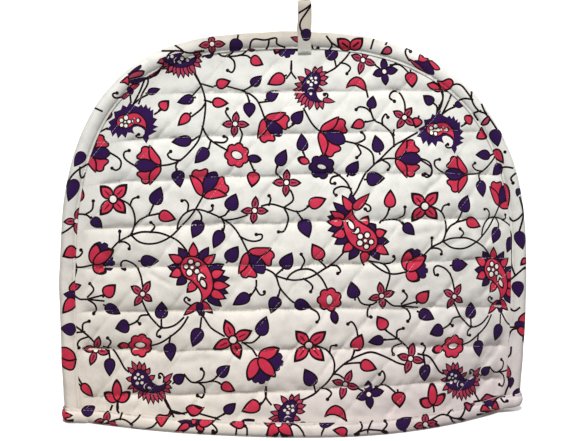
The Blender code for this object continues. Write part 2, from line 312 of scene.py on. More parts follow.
def dot(centre, radius, ink, stretch=1.0, tilt=0.0, points=10):
    angles = np.arange(points) * 2.0 * math.pi / points
    along = np.array((math.cos(tilt), math.sin(tilt)))
    across = np.array((-along[1], along[0]))
    ring = np.cos(angles)[:, None] * along * stretch + np.sin(angles)[:, None] * across
    return [(np.asarray(centre, float) + ring * radius, ink)]


def ringed_dot(centre, radius, ink="white", line=1.1, **form):
    return dot(centre, radius + line, "line", **form) + dot(centre, radius, ink, **form)


def band(points, width, ink="line", steps=4, taper=1.0):
    """A drawn line: quads along a curve, of width at its start and width times taper at its end."""
    path = curve_through(points, steps=steps) if steps > 1 else np.asarray(points, float)
    along = np.gradient(path, axis=0)
    along /= np.maximum(np.linalg.norm(along, axis=1), 1e-6)[:, None]
    half = np.linspace(1.0, taper, len(path))[:, None] * width / 2.0
    normal = np.stack((-along[:, 1], along[:, 0]), axis=1) * half
    left, right = path + normal, path - normal
    return [(np.array((left[i], left[i + 1], right[i + 1], right[i])), ink) for i in range(len(path) - 1)]


def longer(points, by=1.5):
    """The points with the first one moved back a little, so that a vine reaches the motif it grows from."""
    first, second = np.asarray(points[0], float), np.asarray(points[1], float)
    back = (first - second) / max(np.linalg.norm(first - second), 1e-6)
    return [first + back * by, *points[1:]]


def vine(*points):
    return band(longer(longer(points)[::-1]), VINE_WIDTH)


def curl(*points):
    """A tendril with a small round end."""
    return band(longer(points), VINE_WIDTH) + dot(points[-1], 1.9, "line")


def blob(points, ink, line=LINE_WIDTH, steps=3):
    """A rounded closed shape with a dark outline, or without one where line is 0."""
    outline = curve_through(points, closed=True, steps=steps)
    if line <= 0.0:
        return [(outline, ink)]
    return [(outline, "line"), (shrunk(outline, line), ink)]


def round_petal(base, tip, width, ink):
    return petal(base, tip, width, ink, base_round=0.8)


def drawn_from(rows):
    """Draws a table of shapes, row by row: each row is a shape's function and what it is given."""
    return [shape for function, *given in rows for shape in function(*given)]


def star(centre, tips, width, ink, centre_radius, line=LINE_WIDTH, rib=True):
    """Four petals round a white centre, each with a short dark rib unless rib is False."""
    centre = np.asarray(centre, float)
    drawn = []
    for tip in tips:
        drawn += petal(centre, tip, width, ink, line=line, base_round=0.85, tip_sharp=1.0)
    for tip in tips:
        tip = np.asarray(tip, float)
        if rib:
            drawn += band((lerp(centre, tip, 0.30), lerp(centre, tip, 0.64)), 1.9, "maroon", steps=2,
                          taper=0.5)
    return drawn + ringed_dot(centre, centre_radius, line=line)


def rosette(centre, radius, ink, oval, tilt, bud, bud_ink, bud_width=9.0, scallops=7):
    """A round scalloped flower with a white oval in it and a bud on one side."""
    centre = np.asarray(centre, float)
    drawn = petal(bud[0], bud[1], bud_width, bud_ink, base_round=0.7, tip_sharp=0.7)
    angles = np.arange(scallops * 6) * 2.0 * math.pi / (scallops * 6)
    reach = radius * (0.84 + 0.16 * np.abs(np.sin(angles * scallops / 2.0)) ** 0.8)
    outline = centre + np.stack((np.cos(angles), np.sin(angles)), axis=1) * reach[:, None]
    drawn += [(outline, "line"), (shrunk(outline, LINE_WIDTH), ink)]
    stretch = oval[0] / oval[1]
    return drawn + ringed_dot(centre, oval[1] / 2.0, stretch=stretch, tilt=math.radians(tilt), points=14)


def placed(base, axis_end, length):
    """A function that puts points given as (to the side, along) about a flower's base and axis."""
    base, axis_end = np.asarray(base, float), np.asarray(axis_end, float)
    along = (axis_end - base) / length
    side = np.array((-along[1], along[0]))
    return lambda points: base + np.array([side * a + along * b for a, b in points])


TULIP_LENGTH = 26.0
TULIP_MIDDLE = ((-2.6, 3.2), (-7.0, 10.0), (-6.8, 19.6), (-4.2, 24.4), (0.4, 27.2), (4.4, 24.6), (6.8, 19.6),
                (7.0, 10.0),
                (2.6, 3.2))
TULIP_HEART = ((4.4, 9.0), (5.6, 15.5), (5.4, 21.4), (7.2, 25.2), (10.6, 25.4), (13.2, 22.6), (15.2, 20.9),
               (18.2, 20.4),
               (20.5, 17.2), (19.8, 12.4), (14.0, 9.0), (8.0, 7.0))
TULIP_PETAL = ((0.0, -0.7), (4.6, -1.5), (9.0, 0.2), (14.4, 4.2), (19.0, 8.2), (21.4, 11.6), (18.0, 12.6),
               (12.8, 12.8),
               (7.6, 11.8), (3.8, 8.8), (0.9, 4.6))


def tulip(base, axis_end):
    """Two pointed petals and two heart-shaped ones round a purple middle, drawn TULIP_LENGTH long."""
    put = placed(base, axis_end, TULIP_LENGTH)
    drawn = blob(put(TULIP_MIDDLE), "purple", line=1.4)
    for shape in (TULIP_HEART, TULIP_PETAL):
        for turn in (-1.0, 1.0):
            drawn += blob(put([(turn * a, b) for a, b in shape]), "red")
    return drawn


def lotus(base, tips):
    """Three pointed red petals, with purple scalloped ones behind and between them."""
    base = np.asarray(base, float)
    rays = [np.asarray(tip, float) - base for tip in tips]
    drawn = []
    for first, second in zip(rays, rays[1:]):
        middle = (first / np.linalg.norm(first) + second / np.linalg.norm(second)) / 2.0
        middle /= np.linalg.norm(middle)
        side = np.array((-middle[1], middle[0]))
        reach = 0.98 * (np.linalg.norm(first) + np.linalg.norm(second)) / 2.0
        scallop = ((-5.0, 0.35), (-8.6, 0.66), (-9.4, 0.86), (-6.4, 0.98), (-3.6, 0.95), (-2.4, 1.05),
                   (2.4, 1.05),
                   (3.6, 0.95), (6.4, 0.98), (9.4, 0.86), (8.6, 0.66), (5.0, 0.35))
        corners = [base + side * a * reach / 25.0 + middle * b * reach for a, b in scallop]
        drawn += blob(corners, "purple", line=1.0, steps=2)
    for ray in (rays[0], rays[2], rays[1]):
        drawn += petal(base, base + ray, 13.2, "red", base_round=0.6, tip_sharp=0.7)
    return drawn


def seeded_head(dots, centre, centre_radius, crescent, drop, drop_width, line=1.6):
    """The white seeds of a paisley: a ring of dots with one in their middle, a crescent and a drop."""
    drawn = []
    for x, y, radius in dots:
        drawn += dot((x, y), radius + line, "line")
    drawn += [(curve_through(crescent, closed=True, steps=2), "line")]
    drawn += petal(drop[0], drop[1], drop_width + 2.0 * line, "white", line=line, base_round=0.6,
                   tip_sharp=0.7)
    drawn += [(shrunk(curve_through(crescent, closed=True, steps=2), line), "white")]
    for x, y, radius in dots:
        drawn += dot((x, y), radius, "white")
    return drawn + dot(centre, centre_radius + 0.8, "line") + dot(centre, centre_radius, "white")


def fringe(body, tips, width, line, root_in=2.0):
    """Petals from the edge of a paisley's body out to the given tips, each with its own ink."""
    body = np.asarray(body, float)
    middle = body.mean(axis=0)
    drawn = []
    for x, y, ink in tips:
        tip = np.array((x, y))
        root = body[np.argmin(np.linalg.norm(body - tip, axis=1))]
        inward = (middle - root) / max(np.linalg.norm(middle - root), 1e-6)
        drawn += petal(root + inward * root_in, tip, width, ink, line=line, base_round=0.4, tip_sharp=0.95)
    return drawn


def paisley(body, body_ink, tips, width, seeds, line=1.2, head=()):
    outline = curve_through(body, closed=True, steps=3)
    drawn = fringe(outline, tips, width, line)
    drawn += [(outline, "line"), (shrunk(outline, line), body_ink)]
    return drawn + list(head) + seeds


# ---------------------------------------------------------------- one repeat of the print, charted

PURPLE_LEAVES = (
    # base x, base y, tip x, tip y, width
    (147.5, 93, 160.7, 88.6, 8), (194, 98.5, 176.7, 102.8, 11), (191.8, 140.6, 171.1, 143, 12),
    (177, 170.3, 180.3, 188.3, 14), (251.3, 86, 262.2, 75.5, 11), (249.5, 102.5, 249.3, 118.3, 13),
    (266.5, 99.5, 280.2, 91.9, 11), (293, 123, 303.6, 110.3, 13), (303, 151.7, 301.6, 133.9, 12.5),
    (278, 166, 286.3, 149.2, 13), (208, 149, 194.4, 163.9, 13), (370.7, 108.9, 373.4, 95.8, 11),
    (379.6, 152.8, 375.1, 135.2, 13), (348.4, 176.1, 358.8, 160.8, 13.5), (366.2, 180, 385.7, 178.9, 15),
    (153.5, 205.5, 161.1, 186.7, 15), (201, 221, 192.3, 239.1, 14), (140.3, 261.7, 159.6, 261.7, 14),
    (229, 210.5, 236.3, 193.3, 15), (222, 231, 213.3, 249.1, 13), (227.5, 262, 238.6, 245.9, 15),
    (283, 269.4, 292.2, 252.2, 15), (302.5, 220.5, 309.4, 238.6, 15), (404, 224.5, 415.1, 236.1, 11.5),
    (355, 299, 351.2, 281.7, 14), (249.5, 295, 232.4, 306.1, 13), (277.5, 297, 270.8, 315, 14),
    (294.5, 303, 312.3, 309.2, 13.5), (105, 306, 120.9, 315, 12), (129.5, 325, 114.8, 328.9, 14.5),
    (161.4, 319.7, 161.8, 301.1, 14), (169.4, 343, 171.1, 362.2, 13.5), (200, 328.5, 192.3, 347.8, 14),
    (109.8, 358.6, 109.6, 377.4, 12), (174, 382.5, 185.3, 374.1, 12), (259.5, 336, 266.9, 316.7, 14.5),
    (217.5, 376, 230.4, 365.6, 12.5), (314, 386.5, 304.4, 368.6, 15), (384, 340, 367.9, 343, 12),
)
RED_LEAVES = (
    (160, 109.5, 169.4, 100.3, 12), (190, 114, 177.3, 126.3, 10.5), (108.5, 110, 105.1, 121.7, 11),
    (216, 86, 231.3, 80.8, 12), (211.9, 102.8, 229.3, 103.7, 11), (285, 76, 266.9, 85, 14),
    (254.7, 171.7, 251.6, 188.3, 14), (364.5, 122, 350.4, 128.1, 12), (158.5, 214.5, 176.7, 220.3, 13.5),
    (104, 296, 116.2, 284.4, 14), (308.5, 206, 327, 198.6, 13), (389.6, 208.3, 390.7, 189.2, 13),
    (322, 260.5, 311.8, 243.3, 14.5), (386, 330, 377.1, 316.1, 13.5), (354.5, 352, 362.3, 333.7, 14.5),
    (360, 363.5, 377.7, 369.7, 13), (398, 392, 400.1, 409.2, 15), (221, 384.5, 235.8, 391.7, 12),
)
SMALL_STARS = (
    # centre, then the tips of its four petals
    ((235.2, 124.1), (236.7, 111.4), (250, 125), (233.8, 138.9), (221.3, 125)),
    ((286.6, 183), (287.2, 169.2), (301.9, 183.3), (285.4, 197.8), (271.9, 183.7)),
    ((404.6, 117.6), (392.6, 111.1), (412.3, 107.2), (415.4, 126.7), (396.8, 129.7)),
    ((410.7, 359.1), (413.8, 343.3), (425.5, 362), (405.3, 374.4), (396.8, 356.1)),
    ((142.6, 293.9), (150.7, 280.8), (130.3, 286.3), (152.6, 301.7), (134, 306.7)),
    ((381.8, 296.2), (379.6, 281.4), (395.3, 291.9), (383.4, 310.6), (367.9, 300)),
    ((345.4, 385.2), (351.8, 369.7), (360.4, 389.4), (340.9, 400.6), (331.6, 380.8)),
    ((254.7, 210.8), (255.8, 195.6), (269.1, 211.1), (252.8, 225), (240.2, 211.1)),
)
LARGE_STARS = (
    ((113.1, 199.4), (99.6, 185.6), (127.6, 184.5), (126.2, 214.1), (99.6, 215.9)),
    ((233, 340), (224.9, 319.4), (252.7, 330.6), (240.4, 360.3), (212.4, 350)),
    ((309, 346.3), (295.2, 330.6), (326.6, 331.1), (324.9, 362.2), (293.8, 362.8)),
)
PURPLE_STAR = ((369, 395), (368.2, 380.6), (384.6, 391.7), (370.7, 410), (355.7, 399.4))
ROSETTES = (
    # centre, radius, ink, oval's length and height, its tilt in degrees, bud's base and tip, bud's ink
    ((237, 155.5), 13.2, "red", (10.5, 7), 25, ((246.9, 157.8), (261.9, 160)), "purple"),
    ((321.8, 167.2), 13.6, "purple", (8.5, 4.5), 15, ((310, 163), (297.2, 158.6)), "red"),
    ((140.3, 345.8), 12.8, "red", (9.6, 5.4), 0, ((130, 346.5), (117, 346.7)), "red"),
    ((329.6, 300.4), 13.2, "red", (5.6, 10), 0, ((333, 311), (336.2, 324.8)), "purple"),
)
TULIPS = (
    # base, end of the purple middle
    ((160.3, 165.6), (135.8, 165.8)), ((264.7, 118.5), (281.3, 136)), ((203, 196), (215.3, 172.6)),
    ((320.7, 132.2), (345, 141.7)), ((396.2, 158.9), (420.5, 158.7)), ((248, 252.5), (263.9, 273)),
)
LOTUSES = (
    # base, then the tips of its three red petals
    ((258, 358), ((280.2, 349.4), (275.8, 377.8), (248, 381.1))),
    ((406, 271.5), ((409.6, 249), (427, 256), (420, 281))),
)
BUD = ((117.3, 402.2), ((103.7, 392.8), (116.7, 379.2), (130.9, 392.8)))
CRESCENT = ((345.7, 88.9), (349, 80.5), (356.2, 76.1), (363.5, 79.5), (366.6, 86), (366.4, 92.2), (361.8, 90),
            (356.6, 87.3), (351, 87))

SPIKY_PAISLEY = (
    (106.3, 130), (110.5, 130.6), (112.4, 136.8), (116, 132.8), (118, 138.8), (121.8, 134.4), (125.6, 138.4),
    (127.6, 132.8), (131, 132.8), (134.6, 134.2), (132.6, 129.4), (133.6, 127.2), (137.6, 126.4),
    (141.6, 127.8), (144.6, 130.6), (144.4, 134), (142.4, 137), (143.2, 139.6), (146.4, 144.4), (149, 139),
    (148.6, 136.4), (157.1, 131.4), (152.8, 129.8), (158.5, 126.8), (153.2, 124.6), (157.4, 119.2),
    (153.2, 117.4), (153.4, 109.4), (150.4, 110.8), (150.6, 106.8), (148, 108.8), (146.1, 104),
    (143.4, 107.6), (141.4, 104.4), (138.4, 106.8), (134.6, 105.4), (132.4, 104.6), (129.6, 102.4),
    (126.8, 107), (122.6, 104.8), (120.8, 109.6), (117.6, 111), (113.7, 111.7), (114.8, 117.8),
    (108.2, 121.8), (110.6, 125.4),
)
SPIKY_BODY = ((115.8, 121.5), (118.5, 116.4), (123, 114.2), (128, 113.4), (133, 112.2), (138.4, 113),
              (143.2, 116.6), (146.4, 121.6), (147, 127), (146, 130), (143.4, 127.4), (139.4, 125.6),
              (134.6, 124.8), (131, 127.4), (126, 128.8), (120.4, 128.4), (117, 125.6))
SPIKY_DOTS = ((126, 117.7, 2.1), (121.4, 120.3, 1.8), (121.6, 125.1, 1.7), (125.9, 125.8, 1.7),
              (129.1, 121.7, 1.7))

BIG_BODY = ((179.3, 268), (181, 261.5), (185, 257), (191, 255.7), (197, 256.7), (202, 259.6), (206.6, 264.4),
            (211, 271.4), (213.6, 279), (214.2, 286.4), (212, 293.4), (207.6, 298.8), (202.8, 302),
            (199.4, 305.4), (201, 297.6), (199.8, 292), (197, 287.4), (193.4, 284), (190.4, 281.4),
            (186.6, 279.4), (182.4, 275.6))
BIG_TIPS = (
    # tip x, tip y, ink
    (178.1, 247.2, "purple"), (209.3, 246.7, "purple"), (224.9, 264.6, "purple"), (230.2, 277.8, "purple"),
    (229.1, 293.9, "purple"), (222.4, 308.1, "purple"), (203.6, 319, "purple"), (167, 267.4, "purple"),
    (175.9, 285.6, "purple"), (193.3, 241.7, "red"), (216.3, 254.4, "red"), (225.8, 270.8, "red"),
    (230.8, 286.1, "red"), (227.1, 299.6, "red"), (213.6, 315, "red"), (168.1, 254.1, "red"),
    (168.7, 277, "red"), (186.4, 293.3, "red"),
)
BIG_DOTS = ((190.8, 262.2, 2.3), (197.7, 265, 2.4), (197, 272, 2.2), (189.5, 273, 2.7), (186.2, 267.4, 2.0))
BIG_CRESCENT = ((196.6, 276), (200.4, 272.6), (204.6, 274.4), (207, 278.4), (203.6, 279.6), (202, 277.8),
                (200.4, 282), (197.4, 282.6))

FACING_BODY = ((352.5, 208.4), (354, 214), (357, 219), (361, 222.4), (366, 225), (371, 228), (375.2, 232),
               (377.8, 237), (378.6, 242), (377, 247.6), (372, 251.6), (366, 253), (359, 251), (353, 247),
               (348.4, 242), (345, 235.6), (343, 229), (342.2, 223), (344.4, 217.6), (348.4, 212.6))
FACING_TIPS = (
    (350.7, 192.6, "purple"), (332.7, 202.2, "purple"), (326.8, 216.7, "purple"), (327.3, 231.3, "purple"),
    (334, 245, "purple"), (348.7, 261.4, "purple"), (379.6, 261.3, "purple"), (389.8, 241.9, "purple"),
    (376.5, 224.6, "purple"), (341.8, 195.2, "red"), (329.3, 211.1, "red"), (326.2, 222.8, "red"),
    (331.2, 237.2, "red"), (341.8, 253.2, "red"), (364, 267.4, "red"), (389.6, 255.4, "red"),
    (387.6, 231.1, "red"), (368.8, 215.8, "red"), (370.4, 193.5, "red"),
)
FACING_DOTS = ((367.2, 235.3, 2.4), (371.2, 242, 2.2), (366.4, 246.6, 2.2), (359.9, 243, 2.6),
               (360.3, 236.4, 2.4))
FACING_CRESCENT = ((351, 232.4), (354, 231), (356.4, 227.4), (359.8, 227.4), (360.8, 231.6), (358.6, 234.4),
                   (354.6, 235))

DARK_BODY = ((301.6, 86), (303.4, 80), (307, 75.6), (311, 72.6), (315.6, 71.6), (319.4, 73.6), (321, 78),
             (320.4, 83.4), (318.4, 88.4), (317, 92.4), (317.4, 96.4), (320, 100), (324, 101.4), (320, 103),
             (315, 102.6), (310, 100.8), (305.4, 97), (302.4, 92))
DARK_TIPS = (
    (304.4, 68, "red"), (315, 66, "red"), (322.7, 66, "red"), (326.8, 71.3, "red"), (329.2, 76.6, "red"),
    (328.3, 83.6, "red"), (324, 92, "red"), (297.3, 76.3, "red"), (294, 83.8, "red"), (292.3, 91.3, "red"),
    (293.8, 96.4, "red"), (294.6, 99.9, "red"), (296.8, 103.4, "red"), (300.4, 106.4, "red"),
    (304.4, 108.6, "red"), (309, 110.8, "red"), (317, 111, "red"), (323, 110.4, "red"), (335.8, 102.4, "red"),
)
DARK_DOTS = ((311.5, 78.6, 1.4), (315.8, 78.2, 1.4), (308.3, 82.3, 1.5), (315.9, 82.6, 1.6),
             (311.2, 84.9, 1.7))
DARK_CRESCENT = ((306.9, 91.4), (308.4, 88.4), (311.2, 87.3), (313.9, 88.8), (314.2, 90.2), (311.2, 89.5),
                 (308.8, 90.6))

LOW_BODY = ((131, 377.6), (133, 372.4), (137.4, 369.4), (142, 369.4), (146, 372.4), (149, 376), (151, 380),
            (154, 383.4), (158.2, 385.6), (162.4, 384.6), (166, 382), (166.6, 386), (164.4, 389.8),
            (160, 392.6), (153, 394.4), (146, 394), (139.4, 391.6), (134, 388), (131, 383))
LOW_TIPS = (
    (131.3, 360.8, "red"), (139.2, 361, "red"), (144.6, 362.2, "red"), (150.2, 367.4, "red"),
    (155.6, 375, "red"), (127, 367.3, "red"), (125.4, 378.4, "red"), (127, 389.6, "red"),
    (132.6, 394.4, "red"), (138.2, 400.4, "red"), (143.1, 402.4, "red"), (148.5, 405.2, "red"),
    (153.6, 405.2, "red"), (159, 404, "red"), (162.4, 402.6, "red"), (166.2, 401.4, "red"),
    (171.4, 394.4, "red"), (172.6, 388.6, "red"), (172.2, 381, "red"), (173.1, 372.9, "red"),
)
LOW_DOTS = ((138, 374.6, 1.5), (142.3, 377, 1.5), (135.3, 378, 1.6), (137.3, 383.5, 1.7), (142, 383, 1.6))
LOW_CRESCENT = ((148.4, 382.9), (145.2, 383.6), (143, 386.4), (143.9, 389.9), (145.4, 389.8), (145.1, 386.9),
                (146.4, 385))

VINES = (
    ((195.9, 75), (200.3, 83.9), (204.2, 95), (205.6, 103.9), (204.7, 116.1), (202.7, 127.2), (198.7, 140.6),
     (189.8, 151.7), (179.8, 160.6), (169.8, 164.4), (160.9, 165.6)),
    ((202.7, 127.2), (206, 135), (211.3, 141.5), (229.1, 151.7)), ((200.3, 83.9), (212.4, 87.4)),
    ((228, 87), (243, 91.1)), ((243, 91.1), (247.4, 96.1), (249.3, 102.8)),
    ((245.8, 92.8), (253.6, 97.2), (259.1, 103.9), (264.7, 118.3)), ((243, 91.4), (251.3, 86.7)),
    ((260.2, 102.6), (269.1, 101.4)), ((205.2, 100.8), (211.9, 102.8)),
    ((204.7, 104.4), (201.3, 109.4), (192.5, 116.1)), ((200, 88), (193.6, 95.6)),
    ((198.7, 137), (191.5, 141.7)), ((179.2, 160.6), (176, 165), (176.4, 170)),
    ((210.8, 141.7), (209.1, 148.3)), ((240.2, 129.4), (242.4, 135.6), (240.2, 142.2)),
    ((250.2, 162.2), (254.1, 171.1)), ((289.1, 127.8), (294.7, 123.9)), ((303, 151.7), (305.2, 157.2)),
    ((277.1, 166.1), (276.3, 173.9), (281.9, 179.4)),
    ((304.1, 109.4), (310.7, 121.7), (316.8, 129.4), (320.7, 132.2)), ((366.8, 91.7), (367.9, 96.7)),
    ((370.1, 109.4), (374.6, 120.6), (382.9, 125), (392.9, 136.1), (394, 146.1)),
    ((365.1, 122.2), (374.6, 120.6)),
    ((417, 133.9), (404, 140.6), (394, 146.1), (381.8, 157.8), (375.1, 163.9), (366.2, 173.9), (360.7, 182.8),
     (357.3, 190), (352, 198)),
    ((375.1, 163.9), (381.8, 160), (388.4, 158.6), (396.2, 158.9)),
    ((345.1, 141.7), (356.2, 144.4), (367.3, 148.9), (372.9, 155), (373.8, 163.9)),
    ((330.7, 171.1), (339.6, 176.7), (346.8, 182.8), (350.5, 190), (351.8, 192.8)),
    ((119.8, 199.7), (130.3, 205.6), (134.8, 217.2), (134.2, 228.3), (130.9, 235.6)),
    ((152.9, 206.1), (148.7, 215.6), (139.8, 220.6), (134.8, 227.2), (130.3, 235.9), (119.2, 241.7),
     (110.9, 250)),
    ((158.7, 214.1), (147.6, 216.7)),
    ((130.3, 236.1), (139.8, 233), (150.9, 232.6), (160.9, 233.7), (170.3, 237.2), (179.8, 242.8),
     (186.4, 250.6)),
    ((133.1, 237.2), (138.7, 241.7), (147.6, 243.9), (158.7, 242.8), (170.3, 237.2), (178.7, 230),
     (187.6, 220.6), (195.3, 210), (203.1, 196)),
    ((177.6, 228.9), (179.2, 221.7), (184.2, 214.4), (192, 210.3), (198.7, 210), (208, 212.2), (219.1, 217.2),
     (224.7, 221.1), (232.4, 226.7), (240.2, 236.7), (248, 252.2)),
    ((198.1, 211.1), (201.4, 216.1), (201.4, 221.1)), ((228, 211.1), (224.7, 215.6), (219.1, 217.4)),
    ((224.7, 220.8), (236.9, 218.9), (246.9, 215.6)),
    ((262.4, 206.1), (271.3, 204.4), (283.6, 207.8), (295.8, 211.9), (302.4, 211.1), (308, 207.2)),
    ((284.7, 207.2), (292.4, 201.7), (293, 196.1), (290.8, 191.1)), ((296.9, 212.2), (302.4, 220.6)),
    ((222.7, 221.1), (224.7, 226.1), (223.3, 231.7)),
    ((264.1, 270), (269.1, 271.1), (275.8, 276.1), (280.2, 288.3), (290.2, 300), (295, 303.3)),
    ((275.8, 276.1), (286.9, 279.4), (298, 280.3), (311, 277.2), (324, 270), (331.8, 265.6), (342.9, 253.6)),
    ((275.8, 275.6), (283, 269.4)), ((280.2, 288.9), (278, 298.3)),
    ((256.3, 281.7), (255.8, 288.3), (250.2, 296.7)),
    ((286.9, 279.4), (291.3, 273.9), (300.2, 270), (311, 270.6), (317.3, 274.4), (322.9, 280.6),
     (327.9, 290.6)),
    ((318.4, 260.5), (325.1, 267.2)), ((380.7, 223.3), (383.4, 221.1), (397.3, 220.8), (402.9, 225)),
    ((383.4, 221.1), (387.3, 215), (389, 208.3)),
    ((368.4, 261.7), (381.8, 270.6), (392.9, 274.2), (406.2, 272.2)),
    ((370.7, 262.2), (381.8, 264.1), (387.3, 268.3), (389.8, 276.1), (386.2, 289.4)),
    ((142.6, 286.1), (140.9, 277.2), (138.1, 270)),
    ((183.1, 318.9), (174.2, 326.1), (162, 328.1), (154.2, 321.7), (148.1, 313.9), (142.6, 301.7)),
    ((148.7, 315.6), (140.9, 316.1), (137, 321.7), (129.8, 325)),
    ((187.6, 318.3), (180.9, 328.3), (169.8, 337.2), (158.7, 343.9), (147.6, 346.7)),
    ((161.4, 327.2), (161.4, 320)), ((170.3, 336.7), (169.4, 342.8)), ((200.3, 328.3), (201.4, 319.4)),
    ((204.7, 318.9), (211.3, 328.3), (223.6, 335.9)),
    ((243, 343.3), (251.3, 343.3), (256.9, 339.4), (259.7, 336.1)),
    ((243, 343.3), (251.3, 349.4), (256.3, 355.9)), ((266.3, 388.3), (266, 397.8), (261.3, 404.4)),
    ((266.3, 388.3), (266, 397.8), (270.8, 404.4)),
    ((104.2, 347.8), (113.1, 351.1), (118.7, 358.3), (124.2, 368.3), (128.1, 371.7)),
    ((108.7, 349.4), (109.8, 358.3)), ((117.6, 403.3), (117.8, 410), (112.4, 420), (109, 429.5)),
    ((164.8, 401.1), (169.8, 409.4)),
    ((184.8, 375), (188.7, 380), (194.2, 382.8), (210.2, 381.7), (218, 375.9)),
    ((210.2, 381.7), (216.9, 382.2), (220.8, 384.4)),
    ((317.3, 347.2), (324, 349.4), (330.7, 355), (334.6, 363.9), (333.8, 373)),
    ((404, 365), (396.2, 362.8), (380.7, 355.6), (370.7, 353.3), (359.6, 356.1), (351.2, 360), (342.9, 365.6),
     (334, 373.9), (327.3, 382.8), (320.7, 389.4), (314, 395), (304, 400)),
    ((354.9, 352.2), (351.2, 360)), ((359.6, 363), (350.7, 363.7), (344, 365)),
    ((314, 386.1), (315.7, 392.8)), ((333.4, 374.4), (338.4, 375), (343.4, 378.3)),
    ((359.6, 390), (364.6, 392.8)), ((376.2, 387.8), (386.2, 386.7), (395.7, 393.3)),
    ((385.7, 330.6), (398.4, 340), (404, 345), (409, 350.6)), ((384, 340.6), (398.4, 339.4)),
    ((358.4, 298.3), (361.8, 303.9), (370.7, 305.9), (376.2, 302.8)),
    ((386.2, 300.6), (392.9, 306.1), (400.7, 306.7), (417, 308.3)), ((400.7, 306.7), (417, 302.2)),
    ((133.7, 103.3), (139.8, 91.7), (144.2, 80.6)), ((130.9, 101.7), (130.3, 96.1)),
    ((133.7, 104), (139.8, 98.9), (147, 95)), ((155.3, 113.9), (160, 110.8)), ((96.4, 108.9), (101.4, 111.7)),
)
CURLS = (
    ((136.5, 167.2), (125.3, 159.4), (124.2, 152.8), (129.2, 150.9)),
    ((107.5, 151.4), (119.8, 159.4), (120.3, 167.2), (115.9, 170.3), (112, 168.3)),
    ((179.8, 160.3), (172, 159.4), (167.6, 155), (170.7, 151.7)),
    ((215.8, 142.8), (224.1, 143), (227.8, 139.4), (224.1, 137.4)),
    ((230.5, 120), (225.8, 112.8), (227.4, 109.2)),
    ((370.1, 111.7), (366.2, 108.3), (359.6, 107), (356.2, 109.7)),
    ((382.9, 125), (382.3, 119.4), (385.7, 114.4), (388, 117.5)), ((394.2, 131.1), (393.4, 135.6)),
    ((405.1, 109.4), (404.6, 102.8), (400.7, 95), (395.1, 92.6), (390.7, 95), (390.1, 98.9), (394.6, 101.9)),
    ((356.2, 144.4), (364, 140.6), (364.9, 136.7), (361.8, 133)),
    ((356.2, 144.4), (360.1, 150.6), (360.7, 153.9), (356.8, 157.8)),
    ((382.9, 160.6), (387.9, 163.3), (390.1, 167.2), (388.4, 170.6)),
    ((339.6, 176.7), (332.9, 178.3), (330.4, 182.2), (331.8, 184.4), (335, 184)),
    ((350.7, 188.9), (341.8, 187), (335.1, 189.4), (333.8, 193.3), (336.2, 195.6)),
    ((130.3, 205), (132.6, 199.4), (138.1, 197.4)), ((119.2, 242.2), (119.8, 232.2)),
    ((119.2, 242.2), (125.3, 242.8), (129.6, 245.6), (129.2, 248.9)),
    ((150.9, 232.2), (154.8, 227.8), (150.9, 223.3)),
    ((187.6, 211.1), (188.4, 205), (185.3, 200.6), (182, 201.1)),
    ((208, 212.2), (212.4, 210), (212.4, 205.8)), ((269.1, 204.8), (270.8, 199.4), (269.1, 196.1)),
    ((284.1, 208.3), (288, 216.1), (288, 223.9), (284.1, 232.2), (278.6, 232.6)),
    ((240.2, 236.7), (246.9, 240), (254.7, 241.4), (261.3, 239.4), (261.9, 235), (256.3, 234.7)),
    ((138.1, 270), (133.1, 264.4), (125.3, 261.1), (121.1, 263.9), (122, 270), (124.8, 270.3)),
    ((255.8, 288.3), (260.2, 295), (264.7, 294.4), (264.4, 292.2)),
    ((301.3, 268.9), (304.7, 261.7), (301.3, 254.4)),
    ((304, 279.4), (309.6, 282.8), (312.7, 287.2), (310.7, 291.9)),
    ((331.2, 266.7), (337.3, 267.2), (340.7, 271.7), (337.9, 273.9)),
    ((397.3, 220.6), (404, 216.1), (405.1, 207.2)),
    ((381.8, 264.1), (390.7, 263.9), (395.1, 259.4), (393.8, 256.7)),
    ((401.8, 303.9), (407.3, 297.2), (403.4, 291.1)),
    ((401.8, 307.2), (408.4, 311.7), (410.4, 317.8), (407.9, 321.7)),
    ((370.7, 305.9), (367.9, 311.7), (367.9, 317.2), (371.2, 317.8)),
    ((311.8, 310.6), (317.3, 313.3), (319.6, 318.9), (317.1, 322.8)),
    ((357.9, 336.7), (356.2, 328.3), (351.8, 322.2), (347.9, 324.4)),
    ((397.3, 338.9), (397.3, 331.7), (403.4, 328.9)),
    ((401.8, 345), (395.1, 347.2), (392.3, 351.7), (393.8, 355.6)), ((137, 321.7), (139.8, 324.1)),
    ((162, 328.1), (157.6, 331.7), (157, 336.1), (159.8, 336.7)),
    ((107.6, 348.3), (110.9, 342.8), (107.6, 338.3)), ((330.1, 353.9), (331.2, 347.2), (336.2, 346.1)),
    ((196.4, 382.2), (202, 379.4), (204.2, 372.8), (201.4, 369.2)),
    ((199.8, 383.9), (203.7, 387.2), (204.8, 393.9), (202, 398.9), (197.6, 397)),
    ((320.7, 389.4), (326.2, 390), (331.6, 393.9), (327.6, 399.7)),
    ((372.9, 390.6), (380.7, 386.1), (385.1, 378.3), (382.9, 371.7), (379.6, 375)),
    ((145.3, 137.2), (138.7, 138.3), (136, 136.1), (138.7, 134.8)),
    ((198.7, 305), (192, 306), (186.4, 303), (184.2, 300), (186.4, 297.4), (189.2, 300)),
    ((364.6, 203.9), (369.6, 206.1), (370.7, 210), (367.9, 211.9), (365.3, 209.4)),
    ((326.5, 98.4), (328, 95.6), (326.2, 94), (324.6, 95)),
    ((163.5, 381.5), (164, 377.5), (162, 374.4), (160, 373.7), (158.8, 375), (159.6, 377.6)),
)


